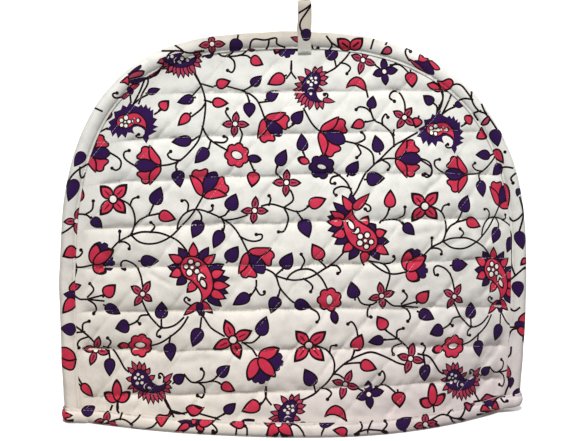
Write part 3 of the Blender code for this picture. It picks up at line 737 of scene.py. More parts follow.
SPIKY_CRESCENT = ((130.6, 121), (133.4, 117.8), (135.4, 117.4), (134, 120.4), (134.6, 123.4),
                  (132.6, 123.4))
# The white seeds of each paisley: its dots, the middle one and its radius, the crescent, the drop and its
# width, and the line round them where it is not the usual one.
SPIKY_SEEDS = (SPIKY_DOTS, (125.2, 122.0), 1.0, SPIKY_CRESCENT, ((135.6, 120.4), (141.4, 120.4)), 3.6, 1.1)
BIG_SEEDS = (BIG_DOTS, (192.2, 268.2), 1.6, BIG_CRESCENT, ((200.6, 279), (206.6, 290)), 4.2)
FACING_SEEDS = (FACING_DOTS, (365.3, 240.6), 1.6, FACING_CRESCENT, ((354.4, 230.6), (347.6, 220)), 4.2)
DARK_SEEDS = (DARK_DOTS, (312.8, 81), 1.0, DARK_CRESCENT, ((311, 92), (311, 97)), 2.6, 0.6)
LOW_SEEDS = (LOW_DOTS, (139.2, 379.1), 1.0, LOW_CRESCENT, ((147.2, 387.4), (152.4, 390.2)), 2.6, 0.6)
BIG_TAIL = (
    (petal, (200.5, 303), (183.1, 316.9), 9.0, "red"),
    (petal, (200, 302), (199.6, 317), 8.0, "purple", 1.0),
)


def chart_motifs():
    """The motifs of one repeat, back to front. Each is a list of (polygon, ink)."""
    motifs = [vine(*points) for points in VINES] + [curl(*points) for points in CURLS]
    motifs += [leaf(row, "purple", 1.6) for row in PURPLE_LEAVES]
    motifs += [leaf(row, "red", LINE_WIDTH) for row in RED_LEAVES]
    motifs += [star(centre, tips, 8.2, "crimson", 2.2, line=1.5) for centre, *tips in SMALL_STARS]
    motifs += [star(centre, tips, 12.4, "red", 3.4, line=2.0) for centre, *tips in LARGE_STARS]
    motifs.append(star(PURPLE_STAR[0], PURPLE_STAR[1:], 9.0, "purple", 2.2, line=1.4, rib=False))
    motifs += [rosette(*row) for row in ROSETTES]
    motifs += [tulip(*row) for row in TULIPS]
    motifs += [lotus(*row) for row in LOTUSES]
    base, tips = BUD
    bud = []
    for tip in (tips[0], tips[2], tips[1]):
        bud += petal(base, tip, 11.0, "red", base_round=0.6, tip_sharp=0.7)
    motifs += [bud, blob(CRESCENT, "red")]
    spiky = [(np.array(SPIKY_PAISLEY), "line"), (shrunk(np.array(SPIKY_PAISLEY), 0.55), "purple")]
    motifs.append(spiky + blob(SPIKY_BODY, "red", line=1.3) + seeded_head(*SPIKY_SEEDS))
    big, facing = seeded_head(*BIG_SEEDS), seeded_head(*FACING_SEEDS)
    motifs.append(paisley(BIG_BODY, "red", BIG_TIPS, 10.8, big, line=1.7, head=drawn_from(BIG_TAIL)))
    motifs.append(paisley(FACING_BODY, "red", FACING_TIPS, 10.8, facing, line=1.7))
    small = ((DARK_BODY, DARK_TIPS, 6.4, DARK_SEEDS), (LOW_BODY, LOW_TIPS, 6.2, LOW_SEEDS))
    for body, body_tips, width, seeds in small:
        crimson_tips = [(x, y, "crimson") for x, y, _ in body_tips]
        motifs.append(paisley(body, "purple", crimson_tips, width, seeded_head(*seeds)))
    return motifs


# The cloth is not quite square and lies sloped and stretched, so a copy of the repeat drifts a little from
# the plain distance. Each rule gives the move from a motif to its copy at (x, y), in chart units. The numbers
# of to_right, to_left and to_bottom come from a least-squares fit to places read off the photograph.


def to_right(x, y):
    a, b = (x - 200.0) / 100.0, (y - 240.0) / 100.0
    return 298.0 - 33.0 * a + 2.0 * b - 18.5 * a * a, 4.7 + a - 10.7 * b + 3.6 * a * a - 11.0 * a * b


def to_left(x, y):
    b = (y - 240.0) / 100.0
    return -312.5 - 2.0 * b, -6.5 - b


def to_top(x, y):
    across = 30.0 - 9.5 * np.maximum((x - 215.0) / 100.0, 0.0)
    return across, -326.5 + 6.5 * np.maximum((x - 300.0) / 100.0, 0.0) ** 2


def to_bottom(x, y):
    return -29.3 + 5.3 * (x - 200.0) / 100.0, 326.8 + 1.3 * (x - 200.0) / 100.0


COPIES = ((), (to_right,), (to_left,), (to_top,), (to_bottom,), (to_right, to_top), (to_left, to_top),
          (to_right, to_bottom), (to_left, to_bottom))
COPIED = {  # which motifs have a copy that way inside the panel: lowest and highest x, lowest and highest y
    to_right: (0.0, 246.0, 0.0, 900.0), to_left: (355.0, 900.0, 0.0, 396.0),
    to_top: (-200.0, 900.0, 340.0, 900.0), to_bottom: (-200.0, 900.0, 0.0, 130.0),
}


def shifted(motif, rules):
    """The motif moved by the rules one after another, or None where there is no such copy of it."""
    sizes = np.cumsum([len(polygon) for polygon, _ in motif])[:-1]
    points = np.concatenate([polygon for polygon, _ in motif])
    for rule in rules:
        x, y = points.mean(axis=0)
        left, right, top, bottom = COPIED[rule]
        if not (left < x < right and top < y < bottom):
            return None
        points = points + np.stack(np.broadcast_arrays(*rule(points[:, 0], points[:, 1])), axis=1)
    return [(polygon, ink) for polygon, (_, ink) in zip(np.split(points, sizes), motif)]


SEEN_ONCE = (  # shapes on the front panel that no copy of the repeat gives
    (curl, (419, 158), (429, 162), (432, 170), (431, 176), (425, 174.5)),
    (vine, (434, 104), (437, 107), (437, 112)),
    (vine, (441, 91), (443, 97), (441.5, 105), (439, 112)),
    (petal, (433.5, 104), (423, 95.6), 11.0, "purple"),
    (vine, (77, 376), (81.5, 383.5)),
    (petal, (81.5, 383.5), (93.5, 398.5), 10.0, "red"),
)
UPPER_TIPS = (((172, 60), (156, 63)), ((174, 63), (159, 69)), ((177, 65), (165, 73.5)))
UPPER_DOTS = (((182, 58.5), 1.8), ((187.5, 60), 1.6))
UPPER_GROUND = ((148, 30), (148, 64), (156, 60.5), (165, 56.5), (175, 53.5), (187, 51.5), (200, 50),
                (215, 47.5), (215, 30))


def under_the_binding():
    """The fringed paisley at the upper left, which ends at the seam in the photograph."""
    drawn = []
    for base, tip in UPPER_TIPS:
        drawn += petal(base, tip, 8.0, "crimson", line=1.2)
    drawn += shifted(chart_motifs()[-1], (to_top,))
    for centre, radius in UPPER_DOTS:
        drawn += ringed_dot(centre, radius)
    return drawn + [(np.array(UPPER_GROUND, float), "ground")]


ACROSS_THE_SEAM = (  # shapes over the seam, drawn both on the panel and on its binding
    # upper left
    (vine, (145, 79), (151, 77.5), (156, 73), (160, 69)),
    (curl, (122, 97), (116, 98), (113, 96), (113.5, 93.5), (117, 93)),
    (blob, ((127.5, 74.5), (134, 68.5), (140.8, 64.5), (141.5, 67.5), (138, 70.5), (131, 73)), "purple", 1.0),
    (blob, ((119.5, 83), (123, 79), (128, 75.5), (130, 80), (129, 86), (124.5, 83.5)), "red"),
    (blob, ((127.5, 76.5), (131, 72.5), (138, 70), (144.5, 70.5), (144, 74), (141, 77), (133, 79),
            (129, 80)), "crimson"),
    (blob, ((129.5, 80.5), (136, 78.5), (146, 77), (147, 79), (141.5, 82), (137, 83.5), (131, 84)),
     "purple", 0.8),
    (blob, ((126.5, 89), (129, 86), (133, 89), (134, 91.5), (131.5, 95.5), (129, 94)), "purple", 0.8),
    (blob, ((130, 85), (136, 83.5), (140, 83.5), (138, 87), (134, 90), (131, 89)), "red", 1.2),
    (blob, ((121.5, 96.5), (124, 93.5), (128, 91), (130.5, 93.5), (128, 97), (123.5, 100)), "crimson", 1.2),
    # upper right
    (blob, ((414, 60.5), (420, 60), (427, 59.5), (430, 64), (434, 70), (434, 75), (428, 74), (421, 70),
            (417, 65)), "purple", 1.0),
    (blob, ((408, 58.5), (413, 60), (420, 65), (426, 72), (422, 71.5), (415, 67)), "crimson", 1.2),
    (blob, ((420, 53.5), (424, 57), (429, 59), (425, 62.5), (419.5, 62), (418, 59)), "red", 1.3),
    (blob, ((428.5, 59.5), (434, 61.5), (439.5, 67), (440, 70), (435, 70.5), (431.5, 67), (429, 63)),
     "red", 1.4),
    (blob, ((436.5, 80.5), (442, 80.5), (448, 78), (452, 79), (454, 82.5), (453, 86), (449, 90), (441, 91),
            (439, 86)), "red"),
    (blob, ((426.5, 84.5), (430, 82.2), (434, 82), (438.5, 84.5), (441, 88.5), (438, 91), (431, 90)), "red"),
    (vine, (460, 100), (465, 98.5), (472, 99.5)),
    (vine, (477.5, 119.5), (474, 114), (476.5, 112), (480, 111)),
    (blob, ((480.3, 124.5), (483.5, 119), (488.5, 115.5), (490.5, 119), (488.5, 124), (484, 126)), "crimson"),
    (blob, ((481.5, 126.5), (485, 132), (487.5, 137), (484, 140), (477, 139.5), (476.5, 136), (479, 131)),
     "red"),
    # along the hem, from the left
    (blob, ((62, 404), (65, 405.5), (66.5, 410), (70, 412.5), (73, 417), (73.5, 422), (67, 424), (62, 425)),
     "red"),
    (vine, (117.5, 403), (117, 409), (118.5, 412)),
    (blob, ((81, 411), (83, 407.5), (87, 405.5), (95, 406.3), (94, 411), (92, 415), (88, 417.2),
            (83.5, 415.5)), "purple", 1.1),
    (vine, (165, 401), (168, 407), (170.5, 411), (167, 417)),
    (vine, (170.5, 411.5), (178, 414), (187, 413)),
    (blob, ((155, 418), (159, 414), (165, 414.8), (171.5, 414), (168, 419.5), (165, 424), (161, 427.5),
            (157, 422.5)), "red"),
    (blob, ((185.5, 408), (190, 405), (195, 405.6), (200, 408.2), (204.8, 407.2), (202, 412), (197, 416.5),
            (191, 416), (187, 412.5)), "red"),
    (blob, ((463.5, 404), (467, 402), (471, 403.6), (475, 402.5), (472, 408), (469.8, 412), (466, 409.8)),
     "crimson"),
    (vine, (475, 402), (480, 401)),
    (vine, (478, 414.5), (485, 413.3), (491, 411)),
    (blob, ((480, 401), (483, 397), (487, 394), (494, 396), (500, 396), (496.5, 400), (492, 403.5),
            (485, 402.5)), "crimson"),
    (blob, ((480, 409), (483, 404), (488, 406), (491, 411), (485, 412.3), (480.5, 412)), "red"),
    (blob, ((494, 401.5), (497, 401), (499.5, 410), (494, 412), (491, 407)), "red"),
    (blob, ((483, 400.5), (488, 399.3), (494.5, 402), (492, 406.5), (487, 406), (484, 403.5)), "purple", 0.8),
    (vine, (496, 399.5), (498.5, 397), (502, 396)),
    (curl, (501.5, 399), (504, 402), (507, 401)),
    (vine, (504.5, 396), (506.5, 390), (508.8, 384), (508.3, 378)),
)


FRONT_EDGE = {"low": (30.0, 20.0), "high": (545.0, 450.0)}  # chart corners that the front panel lies in


def touches(motif, low, high):
    points = np.concatenate([polygon for polygon, _ in motif])
    return (points.max(axis=0) > low).all() and (points.min(axis=0) < high).all()


def front_print():
    low, high = np.array(FRONT_EDGE["low"]), np.array(FRONT_EDGE["high"])
    drawn = drawn_from(SEEN_ONCE)
    for motif in chart_motifs():
        for rules in COPIES:
            copy = shifted(motif, rules)
            if copy is not None and touches(copy, low, high):
                drawn += copy
    return drawn + under_the_binding()[:-1] + drawn_from(ACROSS_THE_SEAM)


REPEAT = (np.array((312.5, 4.0)), np.array((-26.0, 326.5)))


def cloth_print(low, high, turn=0.0, move=(0.0, 0.0)):
    """The print as it lies in the flat cloth, turned and moved, wherever it touches a rectangle."""
    low, high = np.array(low, float), np.array(high, float)
    spin = np.array(((math.cos(turn), math.sin(turn)), (-math.sin(turn), math.cos(turn))))
    drawn = []
    for motif in chart_motifs():
        turned = [(polygon @ spin + np.array(move), ink) for polygon, ink in motif]
        points = np.concatenate([polygon for polygon, _ in turned])
        least, most = points.min(axis=0), points.max(axis=0)
        for i in range(-4, 5):
            for j in range(-4, 5):
                offset = (REPEAT[0] * i + REPEAT[1] * j) @ spin
                if (most + offset > low).all() and (least + offset < high).all():
                    drawn += [(polygon + offset, ink) for polygon, ink in turned]
    return drawn


# ---------------------------------------------------------------- the quilting and the creases of the cloth

MM = 0.001
LEVEL_AT = (100.0, 300.0, 480.0)
LEVEL_SEAMS = (  # chart y of each level seam at those three x
    (94.0, 92.5, 90.0), (142.0, 134.5, 131.0), (184.0, 175.5, 175.0), (229.0, 223.0, 219.0),
    (268.0, 265.5, 260.0), (312.0, 310.0, 307.5), (351.0, 350.0, 346.0), (396.0, 391.0, 380.0),
)
QUILT_SEED = {"front": 11, "back": 57}
SLANT = 1.2  # rise of the slanting seams, in y for each x
SLANT_SEAMS = (132.0, 171.0, 211.0, 251.0, 288.0, 328.0, 367.0, 409.0, 451.0, 487.0, 530.0, 564.0, 604.0,
               643.0)
BACK_SEAMS_MOVE = -127.0  # the back's seams are those of the front, this far along the cloth
CREASES = (
    # x and y of both ends, half width, depth in mm
    (147, 273, 173, 287, 4.0, 0.9), (480, 362, 497, 338, 4.5, 1.6), (476, 376, 506, 341, 4.0, 1.2),
    (470, 399, 498, 371, 4.5, 1.5), (455, 396, 478, 372, 4.0, 0.9), (120, 196, 136, 222, 4.5, 0.7),
    (428, 150, 447, 120, 4.0, 0.9), (461, 205, 476, 240, 4.5, 0.9), (440, 250, 470, 236, 4.5, 0.7),
    (400, 238, 436, 232, 5.0, 0.8), (205, 286, 250, 278, 6.0, 0.6), (330, 208, 352, 182, 4.5, 0.7),
    (262, 208, 282, 178, 4.5, 0.6), (116, 330, 148, 322, 5.0, 0.6), (355, 330, 402, 318, 6.0, 0.6),
    (478, 300, 500, 276, 4.5, 1.1), (470, 268, 498, 248, 4.5, 0.9), (120, 140, 150, 150, 5.0, 0.7),
    (170, 366, 214, 358, 6.0, 0.6), (284, 140, 322, 148, 6.0, 0.5), (96, 250, 118, 262, 5.0, 0.7),
    (430, 190, 452, 168, 4.0, 0.8), (446, 330, 472, 318, 5.0, 0.9), (140, 382, 118, 404, 4.0, 0.8),
)


LATTICE = 128
LATTICES = {}


def value_noise(x, y, seed):
    """Smooth noise from -1 to 1, with a lattice of one unit."""
    if seed not in LATTICES:
        LATTICES[seed] = np.random.default_rng(seed).uniform(-1.0, 1.0, (LATTICE, LATTICE))
    lattice = LATTICES[seed]
    i, j = np.floor(x).astype(int), np.floor(y).astype(int)
    u, v = smooth_step(x - i, 0.0, 1.0), smooth_step(y - j, 0.0, 1.0)
    corner = [[lattice[(i + a) % LATTICE, (j + b) % LATTICE] for b in (0, 1)] for a in (0, 1)]
    near = corner[0][0] * (1 - u) + corner[1][0] * u
    far = corner[0][1] * (1 - u) + corner[1][1] * u
    return near * (1 - v) + far * v


def level_at(seam, x):
    """Chart y of a level seam at each x: a smooth curve through its three known points."""
    a, b, c = LEVEL_AT
    ya, yb, yc = seam
    return (ya * (x - b) * (x - c) / ((a - b) * (a - c)) + yb * (x - a) * (x - c) / ((b - a) * (b - c))
            + yc * (x - a) * (x - b) / ((c - a) * (c - b)))


def wander(x, seed):
    """A machine seam is never quite straight: how far it strays, in chart units."""
    level = np.zeros_like(x)
    return 0.9 * value_noise(x / 34.0, level, seed) + 0.35 * value_noise(x / 11.0, level, seed + 1)


# Depths of the relief are in millimetres and distances in chart units.
LEVEL_DEPTH = 3.5
LEVEL_ABOVE, LEVEL_BELOW = 5.8, 4.2  # how slowly a level seam's trough fades above it and below it
LEVEL_SOFT = 0.9  # rounds the bottom of the trough
SLANT_DEPTH = 1.4
SLANT_FADE = 3.0
SLANT_SOFT = 0.6
SAG_DEPTH = 0.8
SAG_FROM, SAG_TO = 10.0, 34.0  # height above the lower seam
PUCKER_NEAR = 0.60  # puckers, which fade away from the seams
PUCKER_FADE = 6.0
SWELLS = (0.70, 0.38, 0.17)  # broad, middling and fine unevenness of the filling
RESTLESS = 0.7  # how much more uneven the cloth gets towards the chart's right
RESTLESS_FROM, RESTLESS_TO = 380.0, 500.0
FAR = 99.0  # farther than any seam


def quilt_relief(side, chart):
    """How far the cloth lies below the crowns of its puffs at each chart position, in metres."""
    x = chart[:, 0] + (0.0 if side == "front" else BACK_SEAMS_MOVE)
    y = chart[:, 1]
    seed = QUILT_SEED[side]
    restless = 1.0 + RESTLESS * smooth_step(x, RESTLESS_FROM, RESTLESS_TO)
    depth = np.zeros(len(chart))
    nearest = np.full(len(chart), FAR)
    above = np.full(len(chart), FAR)
    for k, seam in enumerate(LEVEL_SEAMS):
        gap = y - level_at(seam, x) - wander(x, seed + 20 + k)
        pull = 1.0 + 0.42 * value_noise(x / 24.0, np.full_like(x, 3.7 * k), seed + 1)
        pull = pull + 0.26 * value_noise(x / 8.0, np.full_like(x, 1.3 * k), seed + 7)
        fade = np.where(gap < 0.0, LEVEL_ABOVE, LEVEL_BELOW)
        depth += LEVEL_DEPTH * pull * np.exp(-np.sqrt(gap * gap + LEVEL_SOFT**2) / fade)
        nearest = np.minimum(nearest, np.abs(gap))
        above = np.where(gap < 0.0, np.minimum(above, -gap), above)
    # Each row of filling has slid down a little, so that it is fullest above its lower seam.
    depth += SAG_DEPTH * smooth_step(above, SAG_FROM, SAG_TO)
    along = (x - SLANT * y) / math.hypot(1.0, SLANT)
    lean = (SLANT * x + y) / math.hypot(1.0, SLANT)
    for k, place in enumerate(SLANT_SEAMS):
        gap = lean - place - wander(along, seed + 40 + k)
        pull = 1.0 + 0.5 * value_noise(along / 30.0, np.full_like(x, 2.3 * k), seed + 2)
        depth += SLANT_DEPTH * pull * np.exp(-np.sqrt(gap * gap + SLANT_SOFT**2) / SLANT_FADE)
        nearest = np.minimum(nearest, 1.5 * np.abs(gap))
    puckers = value_noise(x / 6.0 + 0.5 * y / 6.0, y / 16.0, seed + 3)
    depth += PUCKER_NEAR * restless * puckers * np.exp(-nearest / PUCKER_FADE)
    depth += SWELLS[0] * restless * value_noise(x / 36.0, y / 30.0, seed + 4)
    depth += SWELLS[1] * restless * value_noise(x / 13.0 - y / 20.0, y / 12.0, seed + 5)
    depth += SWELLS[2] * restless * value_noise(x / 7.5 + y / 15.0, y / 6.5 - x / 24.0, seed + 6)
    if side == "front":
        for x0, y0, x1, y1, half, deep in CREASES:
            run = np.array((x1 - x0, y1 - y0))
            length = np.linalg.norm(run)
            share = ((x - x0) * run[0] + (y - y0) * run[1]) / length**2
            off = ((x - x0) * run[1] - (y - y0) * run[0]) / length
            fade = smooth_step(share, -0.15, 0.25) * (1.0 - smooth_step(share, 0.75, 1.15))
            fold = np.exp(-((off / half) ** 2) * 2.0) - 0.5 * np.exp(-(((off - 1.9 * half) / half) ** 2))
            depth += deep * fade * fold
    return depth * MM


CALM_UP_TO, FULL_FROM = 0.008, 0.016  # the relief fades out towards the foot between these heights
INNER_SHARE = 0.35  # how much of the outer relief the inner skin mirrors
LEAST_THICK = 0.9 * MM


def panel_skin(side, chart, layer):
    """Places on a panel's outer skin (layer 0) or its inner one (layer 1)."""
    x, z = panel_from_chart(side, chart)
    out = bulge(side, x, z)
    puffed = smooth_step(out, *PUFFS_OPEN)
    calm = puffed * smooth_step(z, CALM_UP_TO, FULL_FROM)
    relief = quilt_relief(side, chart) * calm
    if layer == 0:
        return panel_place(side, x, z, relief)
    thick = RIM_THICK + (PANEL_THICK - RIM_THICK) * puffed
    return panel_place(side, x, z, np.maximum(thick - INNER_SHARE * relief, relief + LEAST_THICK))


def panel_outline(side):
    """The panel's cut edge in the chart, from its left foot over the top."""
    step = 0.0018
    rows = np.arange(PANEL_FOOT, HEIGHT - PANEL_INSET - 0.010, step)
    left = np.stack((-half_width(-1.0, rows, PANEL_INSET), rows), axis=1)
    right = np.stack((half_width(1.0, rows, PANEL_INSET), rows), axis=1)
    top_x = np.arange(left[-1, 0] + step, right[-1, 0] - step / 2.0, step)
    share = np.abs(top_x) / (of_arch(top_x, "reach") - PANEL_INSET)
    power, spring = of_arch(top_x, "power"), of_arch(top_x, "spring")
    top_z = spring + (HEIGHT - spring - PANEL_INSET) * (1.0 - share**power) ** (1.0 / power)
    top = np.stack((top_x, top_z), axis=1)
    foot_x = np.arange(right[0, 0] - step, left[0, 0] + step / 2.0, -step)
    foot = np.stack((foot_x, np.full_like(foot_x, PANEL_FOOT)), axis=1)
    loop = np.concatenate((left, top, right[::-1], foot))
    return chart_of(side, loop[:, 0], loop[:, 1])


# ---------------------------------------------------------------- cloth meshes


def signed_area(polygon):
    after = np.roll(polygon, -1, axis=0)
    return np.sum(polygon[:, 0] * after[:, 1] - after[:, 0] * polygon[:, 1]) / 2.0


def inside(points, polygon):
    """Which of the points lie in the polygon."""
    turns = np.zeros(len(points), int)
    after = np.roll(polygon, -1, axis=0)
    for (ax, ay), (bx, by) in zip(polygon, after):
        if ay == by:
            continue
        crosses = (points[:, 1] < ay) != (points[:, 1] < by)
        crosses &= points[:, 0] < (bx - ax) * (points[:, 1] - ay) / (by - ay) + ax
        turns += crosses * (1 if by > ay else -1)
    return turns != 0


def grid_in(outline, step):
    """Points of an even triangular grid inside the outline, clear of its edge."""
    low, high = outline.min(axis=0), outline.max(axis=0)
    rows = np.arange(low[1] + step / 2.0, high[1], step * 0.866)
    columns = np.arange(low[0] + step / 2.0, high[0], step)
    x, y = np.meshgrid(columns, rows)
    x = x + (np.arange(len(rows)) % 2)[:, None] * step / 2.0
    points = np.stack((x.ravel(), y.ravel()), axis=1)
    middle = (low + high) / 2.0
    return points[inside(points + (points - middle) * 0.004, outline) & inside(points, outline)]


def painted(centres, drawn):
    """The ink of each triangle: that of the last shape drawn over its middle."""
    order = np.argsort(centres[:, 0])
    sorted_x = centres[order, 0]
    inks = np.full(len(centres), "ground", dtype="<U8")
    for polygon, ink in drawn:
        (left, top), (right, bottom) = polygon.min(axis=0), polygon.max(axis=0)
        near = order[np.searchsorted(sorted_x, left) : np.searchsorted(sorted_x, right)]
        near = near[(centres[near, 1] > top) & (centres[near, 1] < bottom)]
        if len(near):
            inks[near[inside(centres[near], polygon)]] = ink
    return inks


def cut_flat(outline, drawn, extra):
    """Triangles of a flat piece of cloth: (points, triangles, ink of each, its edge loop's indices)."""
    outline = outline if signed_area(outline) > 0.0 else outline[::-1]
    low, high = outline.min(axis=0), outline.max(axis=0)
    shown = [(polygon, ink) for polygon, ink in drawn
             if (polygon.max(axis=0) > low).all() and (polygon.min(axis=0) < high).all()]
    points, edges, count = [], [], 0
    for polygon in [outline] + [polygon for polygon, _ in shown]:
        size = len(polygon)
        points.append(polygon)
        edges += [(count + i, count + (i + 1) % size) for i in range(size)]
        count += size
    points.append(extra)
    flat = [Vector((float(x), float(y))) for x, y in np.concatenate(points)]
    verts, _, tris, orig_verts, _, _ = delaunay_2d_cdt(flat, edges, [], 0, 1e-4, True)
    places = np.array([(vert[0], vert[1]) for vert in verts])
    triangles = np.array(tris)
    centres = places[triangles].mean(axis=1)
    kept = inside(centres, outline)
    triangles, centres = triangles[kept], centres[kept]
    index_of = {}
    for new, olds in enumerate(orig_verts):
        for old in olds:
            index_of.setdefault(old, new)
    loop = [index_of[i] for i in range(len(outline))]
    used = np.unique(np.concatenate((triangles.ravel(), loop)))
    renumber = np.full(len(verts), -1)
    renumber[used] = np.arange(len(used))
    return places[used], renumber[triangles], painted(centres, shown), renumber[loop]


def edge_loop(triangles):
    """The points round the edge of a flat piece, in order."""
    sides = [triangles[:, [0, 1]], triangles[:, [1, 2]], triangles[:, [2, 0]]]
    edges = np.concatenate(sides).astype(np.int64)
    size = edges.max() + 1
    single = edges[~np.isin(edges[:, 0] * size + edges[:, 1], edges[:, 1] * size + edges[:, 0])]
    following = dict(single.tolist())
    order = [int(single[0, 0])]
    while following[order[-1]] != order[0]:
        order.append(following[order[-1]])
    return order


def skin_normals(skin, points, layer, step=0.9):
    """Normals of a skin from its own formula, so that they don't depend on how it was cut into triangles."""
    along = skin(points + (step, 0.0), layer) - skin(points - (step, 0.0), layer)
    across = skin(points + (0.0, step), layer) - skin(points - (0.0, step), layer)
    normals = np.cross(along, across)
    return normals / np.maximum(np.linalg.norm(normals, axis=1), 1e-12)[:, None]


def cloth_piece(name, outline, drawn, skin, materials, steps=(2.6, 5.5), extra=()):
    """One closed piece of cloth: a printed outer skin, a plain inner skin and the cut edge between them."""
    fine = grid_in(outline, steps[0])
    if len(extra):
        fine = np.concatenate((fine, extra[inside(extra, outline)]))
    flat, triangles, inks, _ = cut_flat(outline, drawn, fine)
    # The inner skin shares the outer one's edge loop, cut points included.
    order = edge_loop(triangles)
    edge = flat[order]
    back_flat, back_triangles, _, back_loop = cut_flat(edge, [], grid_in(outline, steps[1]))
    front_places, back_places = skin(flat, 0), skin(back_flat, 1)
    front_normals = skin_normals(skin, flat, 0)
    back_normals = skin_normals(skin, back_flat, 1)
    sample = slice(None, None, max(len(flat) // 400, 1))
    through = front_places[sample] - skin(flat[sample], 1)
    turned = np.sum(through * front_normals[sample]) < 0.0
    if turned:
        front_normals = -front_normals
        triangles = triangles[:, ::-1]
        back_normals = -back_normals
    else:
        back_triangles = back_triangles[:, ::-1]
    back_normals = -back_normals
    start = len(flat)
    walls = []
    for k in range(len(order)):
        a, b = order[k], order[(k + 1) % len(order)]
        c, d = start + back_loop[(k + 1) % len(order)], start + back_loop[k]
        walls += [(b, a, d), (b, d, c)] if not turned else [(a, b, c), (a, c, d)]
    faces = np.concatenate((triangles, back_triangles + start, np.array(walls)))
    places = np.concatenate((front_places, back_places))
    normals = np.concatenate((front_normals, back_normals))
    slots = list(materials)
    inked = [slots.index(ink) for ink in inks]
    inked += [slots.index("inside")] * len(back_triangles) + [slots.index("ground")] * len(walls)
    mesh = bpy.data.meshes.new(name)
    mesh.from_pydata(places.tolist(), [], faces.tolist())
    for key in slots:
        mesh.materials.append(materials[key])
    mesh.polygons.foreach_set("material_index", inked)
    mesh.polygons.foreach_set("use_smooth", [True] * len(faces))
    layer = mesh.uv_layers.new(name="cloth")
    corner = np.empty(len(faces) * 3, np.int32)
    mesh.loops.foreach_get("vertex_index", corner)
    metres = np.concatenate((flat, back_flat)) * UNIT
    layer.data.foreach_set("uv", metres[corner].ravel())
    mesh.normals_split_custom_set_from_vertices(normals.tolist())
    piece = bpy.data.objects.new(name, mesh)
    bpy.context.scene.collection.objects.link(piece)
    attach(piece, "root")
    return piece


# ---------------------------------------------------------------- materials

INKS = {
    # colour as it looks, roughness, how much the thread shows through
    "ground": ((229, 228, 222), 0.86, 0.05),
    "red": ((203, 46, 75), 0.84, 0.08),
    "crimson": ((170, 54, 84), 0.84, 0.08),
    "purple": ((40, 8, 68), 0.84, 0.05),
    "line": ((20, 1, 10), 0.86, 0.03),
    "white": ((238, 235, 228), 0.84, 0.05),
    "maroon": ((104, 6, 26), 0.84, 0.06),
    "inside": ((228, 223, 209), 0.90, 0.05),
}
THREAD_PITCH = 0.00042  # distance from thread to thread in the cotton


def linear(colour):
    """Linear RGBA of a colour given as 0 to 255 on the screen."""
    shares = [value / 255.0 for value in colour]
    return [v / 12.92 if v <= 0.04045 else ((v + 0.055) / 1.055) ** 2.4 for v in shares] + [1.0]


class Nodes:
    """Short names for adding nodes and links to one material."""

    def __init__(self, name, roughness):
        self.material = bpy.data.materials.new(name)
        self.material.use_nodes = True
        self.tree = self.material.node_tree
        self.shader = next(node for node in self.tree.nodes if node.type == "BSDF_PRINCIPLED")
        self.shader.inputs["Roughness"].default_value = roughness
        self.shader.inputs["Specular IOR Level"].default_value = 0.12

    def add(self, kind, **settings):
        node = self.tree.nodes.new("ShaderNode" + kind)
        for key, value in settings.items():
            setattr(node, key, value)
        return node

    def link(self, source, target):
        self.tree.links.new(source, target)

    def math(self, operation, a, b=None, clamp=False):
        node = self.add("Math", operation=operation, use_clamp=clamp)
        for socket, value in zip(node.inputs, (a, b)):
            if value is None:
                continue
            if isinstance(value, (int, float)):
                socket.default_value = value
            else:
                self.link(value, socket)
        return node.outputs[0]

    def mix(self, share, a, b, blend="MIX"):
        node = self.add("Mix", data_type="RGBA", blend_type=blend)
        sockets = (node.inputs["Factor"], node.inputs[6], node.inputs[7])
        for socket, value in zip(sockets, (share, a, b)):
            if isinstance(value, (int, float, list, tuple)):
                socket.default_value = value
            else:
                self.link(value, socket)
        return node.outputs[2]

    def noise(self, vector, scale, detail=2.0, roughness=0.55):
        node = self.add("TexNoise")
        node.inputs["Scale"].default_value = scale
        node.inputs["Detail"].default_value = detail
        node.inputs["Roughness"].default_value = roughness
        self.link(vector, node.inputs["Vector"])
        return node.outputs[0]


def weave(nodes, uv):
    """Height of a plain weave, 0 to 1, from the cloth's own flat coordinates."""
    split = nodes.add("SeparateXYZ")
    nodes.link(uv, split.inputs[0])
    rate = math.pi / THREAD_PITCH
    waves = []
    for axis in (0, 1):
        phase = nodes.math("MULTIPLY", split.outputs[axis], rate)
        waves.append(nodes.math("SINE", phase))
    warp = nodes.math("ABSOLUTE", waves[0])
    weft = nodes.math("ABSOLUTE", waves[1])
    over = nodes.math("MULTIPLY", waves[0], waves[1])
    side = nodes.math("GREATER_THAN", over, 0.0)
    upper = nodes.math("MULTIPLY", warp, side)
    lower = nodes.math("MULTIPLY", weft, nodes.math("SUBTRACT", 1.0, side))
    return nodes.math("ADD", upper, lower)


SLUB_RATE, UNEVEN_RATE, BLOTCH_RATE = 900.0, 26.0, 120.0  # scales of the noise in the ink
CLOTH_BUMP = 0.35
CLOTH_BUMP_DEPTH = 0.00012
CLOTH_SHEEN = 0.03
WORN_SHARE = 0.16  # how far the tops of the threads go from their ink to white
DEEP_SHARE = 0.90
# Threshold and gain of the ink's slubs, its unevenness and its blotches.
DEEPER = ((0.42, 1.4), (0.48, 0.9), (0.46, 2.4))
PAINTED_SHADE_LOWER_LEFT = (252, 240, 232)  # painted shade, each multiplied in: darker towards the hem over the lower left and the lower right, and darker over the top
PAINTED_SHADE_LOWER_RIGHT = (236, 225, 232)
PAINTED_SHADE_TOP = (214, 205, 196)
PAINTED_SHADE_TOP_FROM = 0.285  # metres above the floor


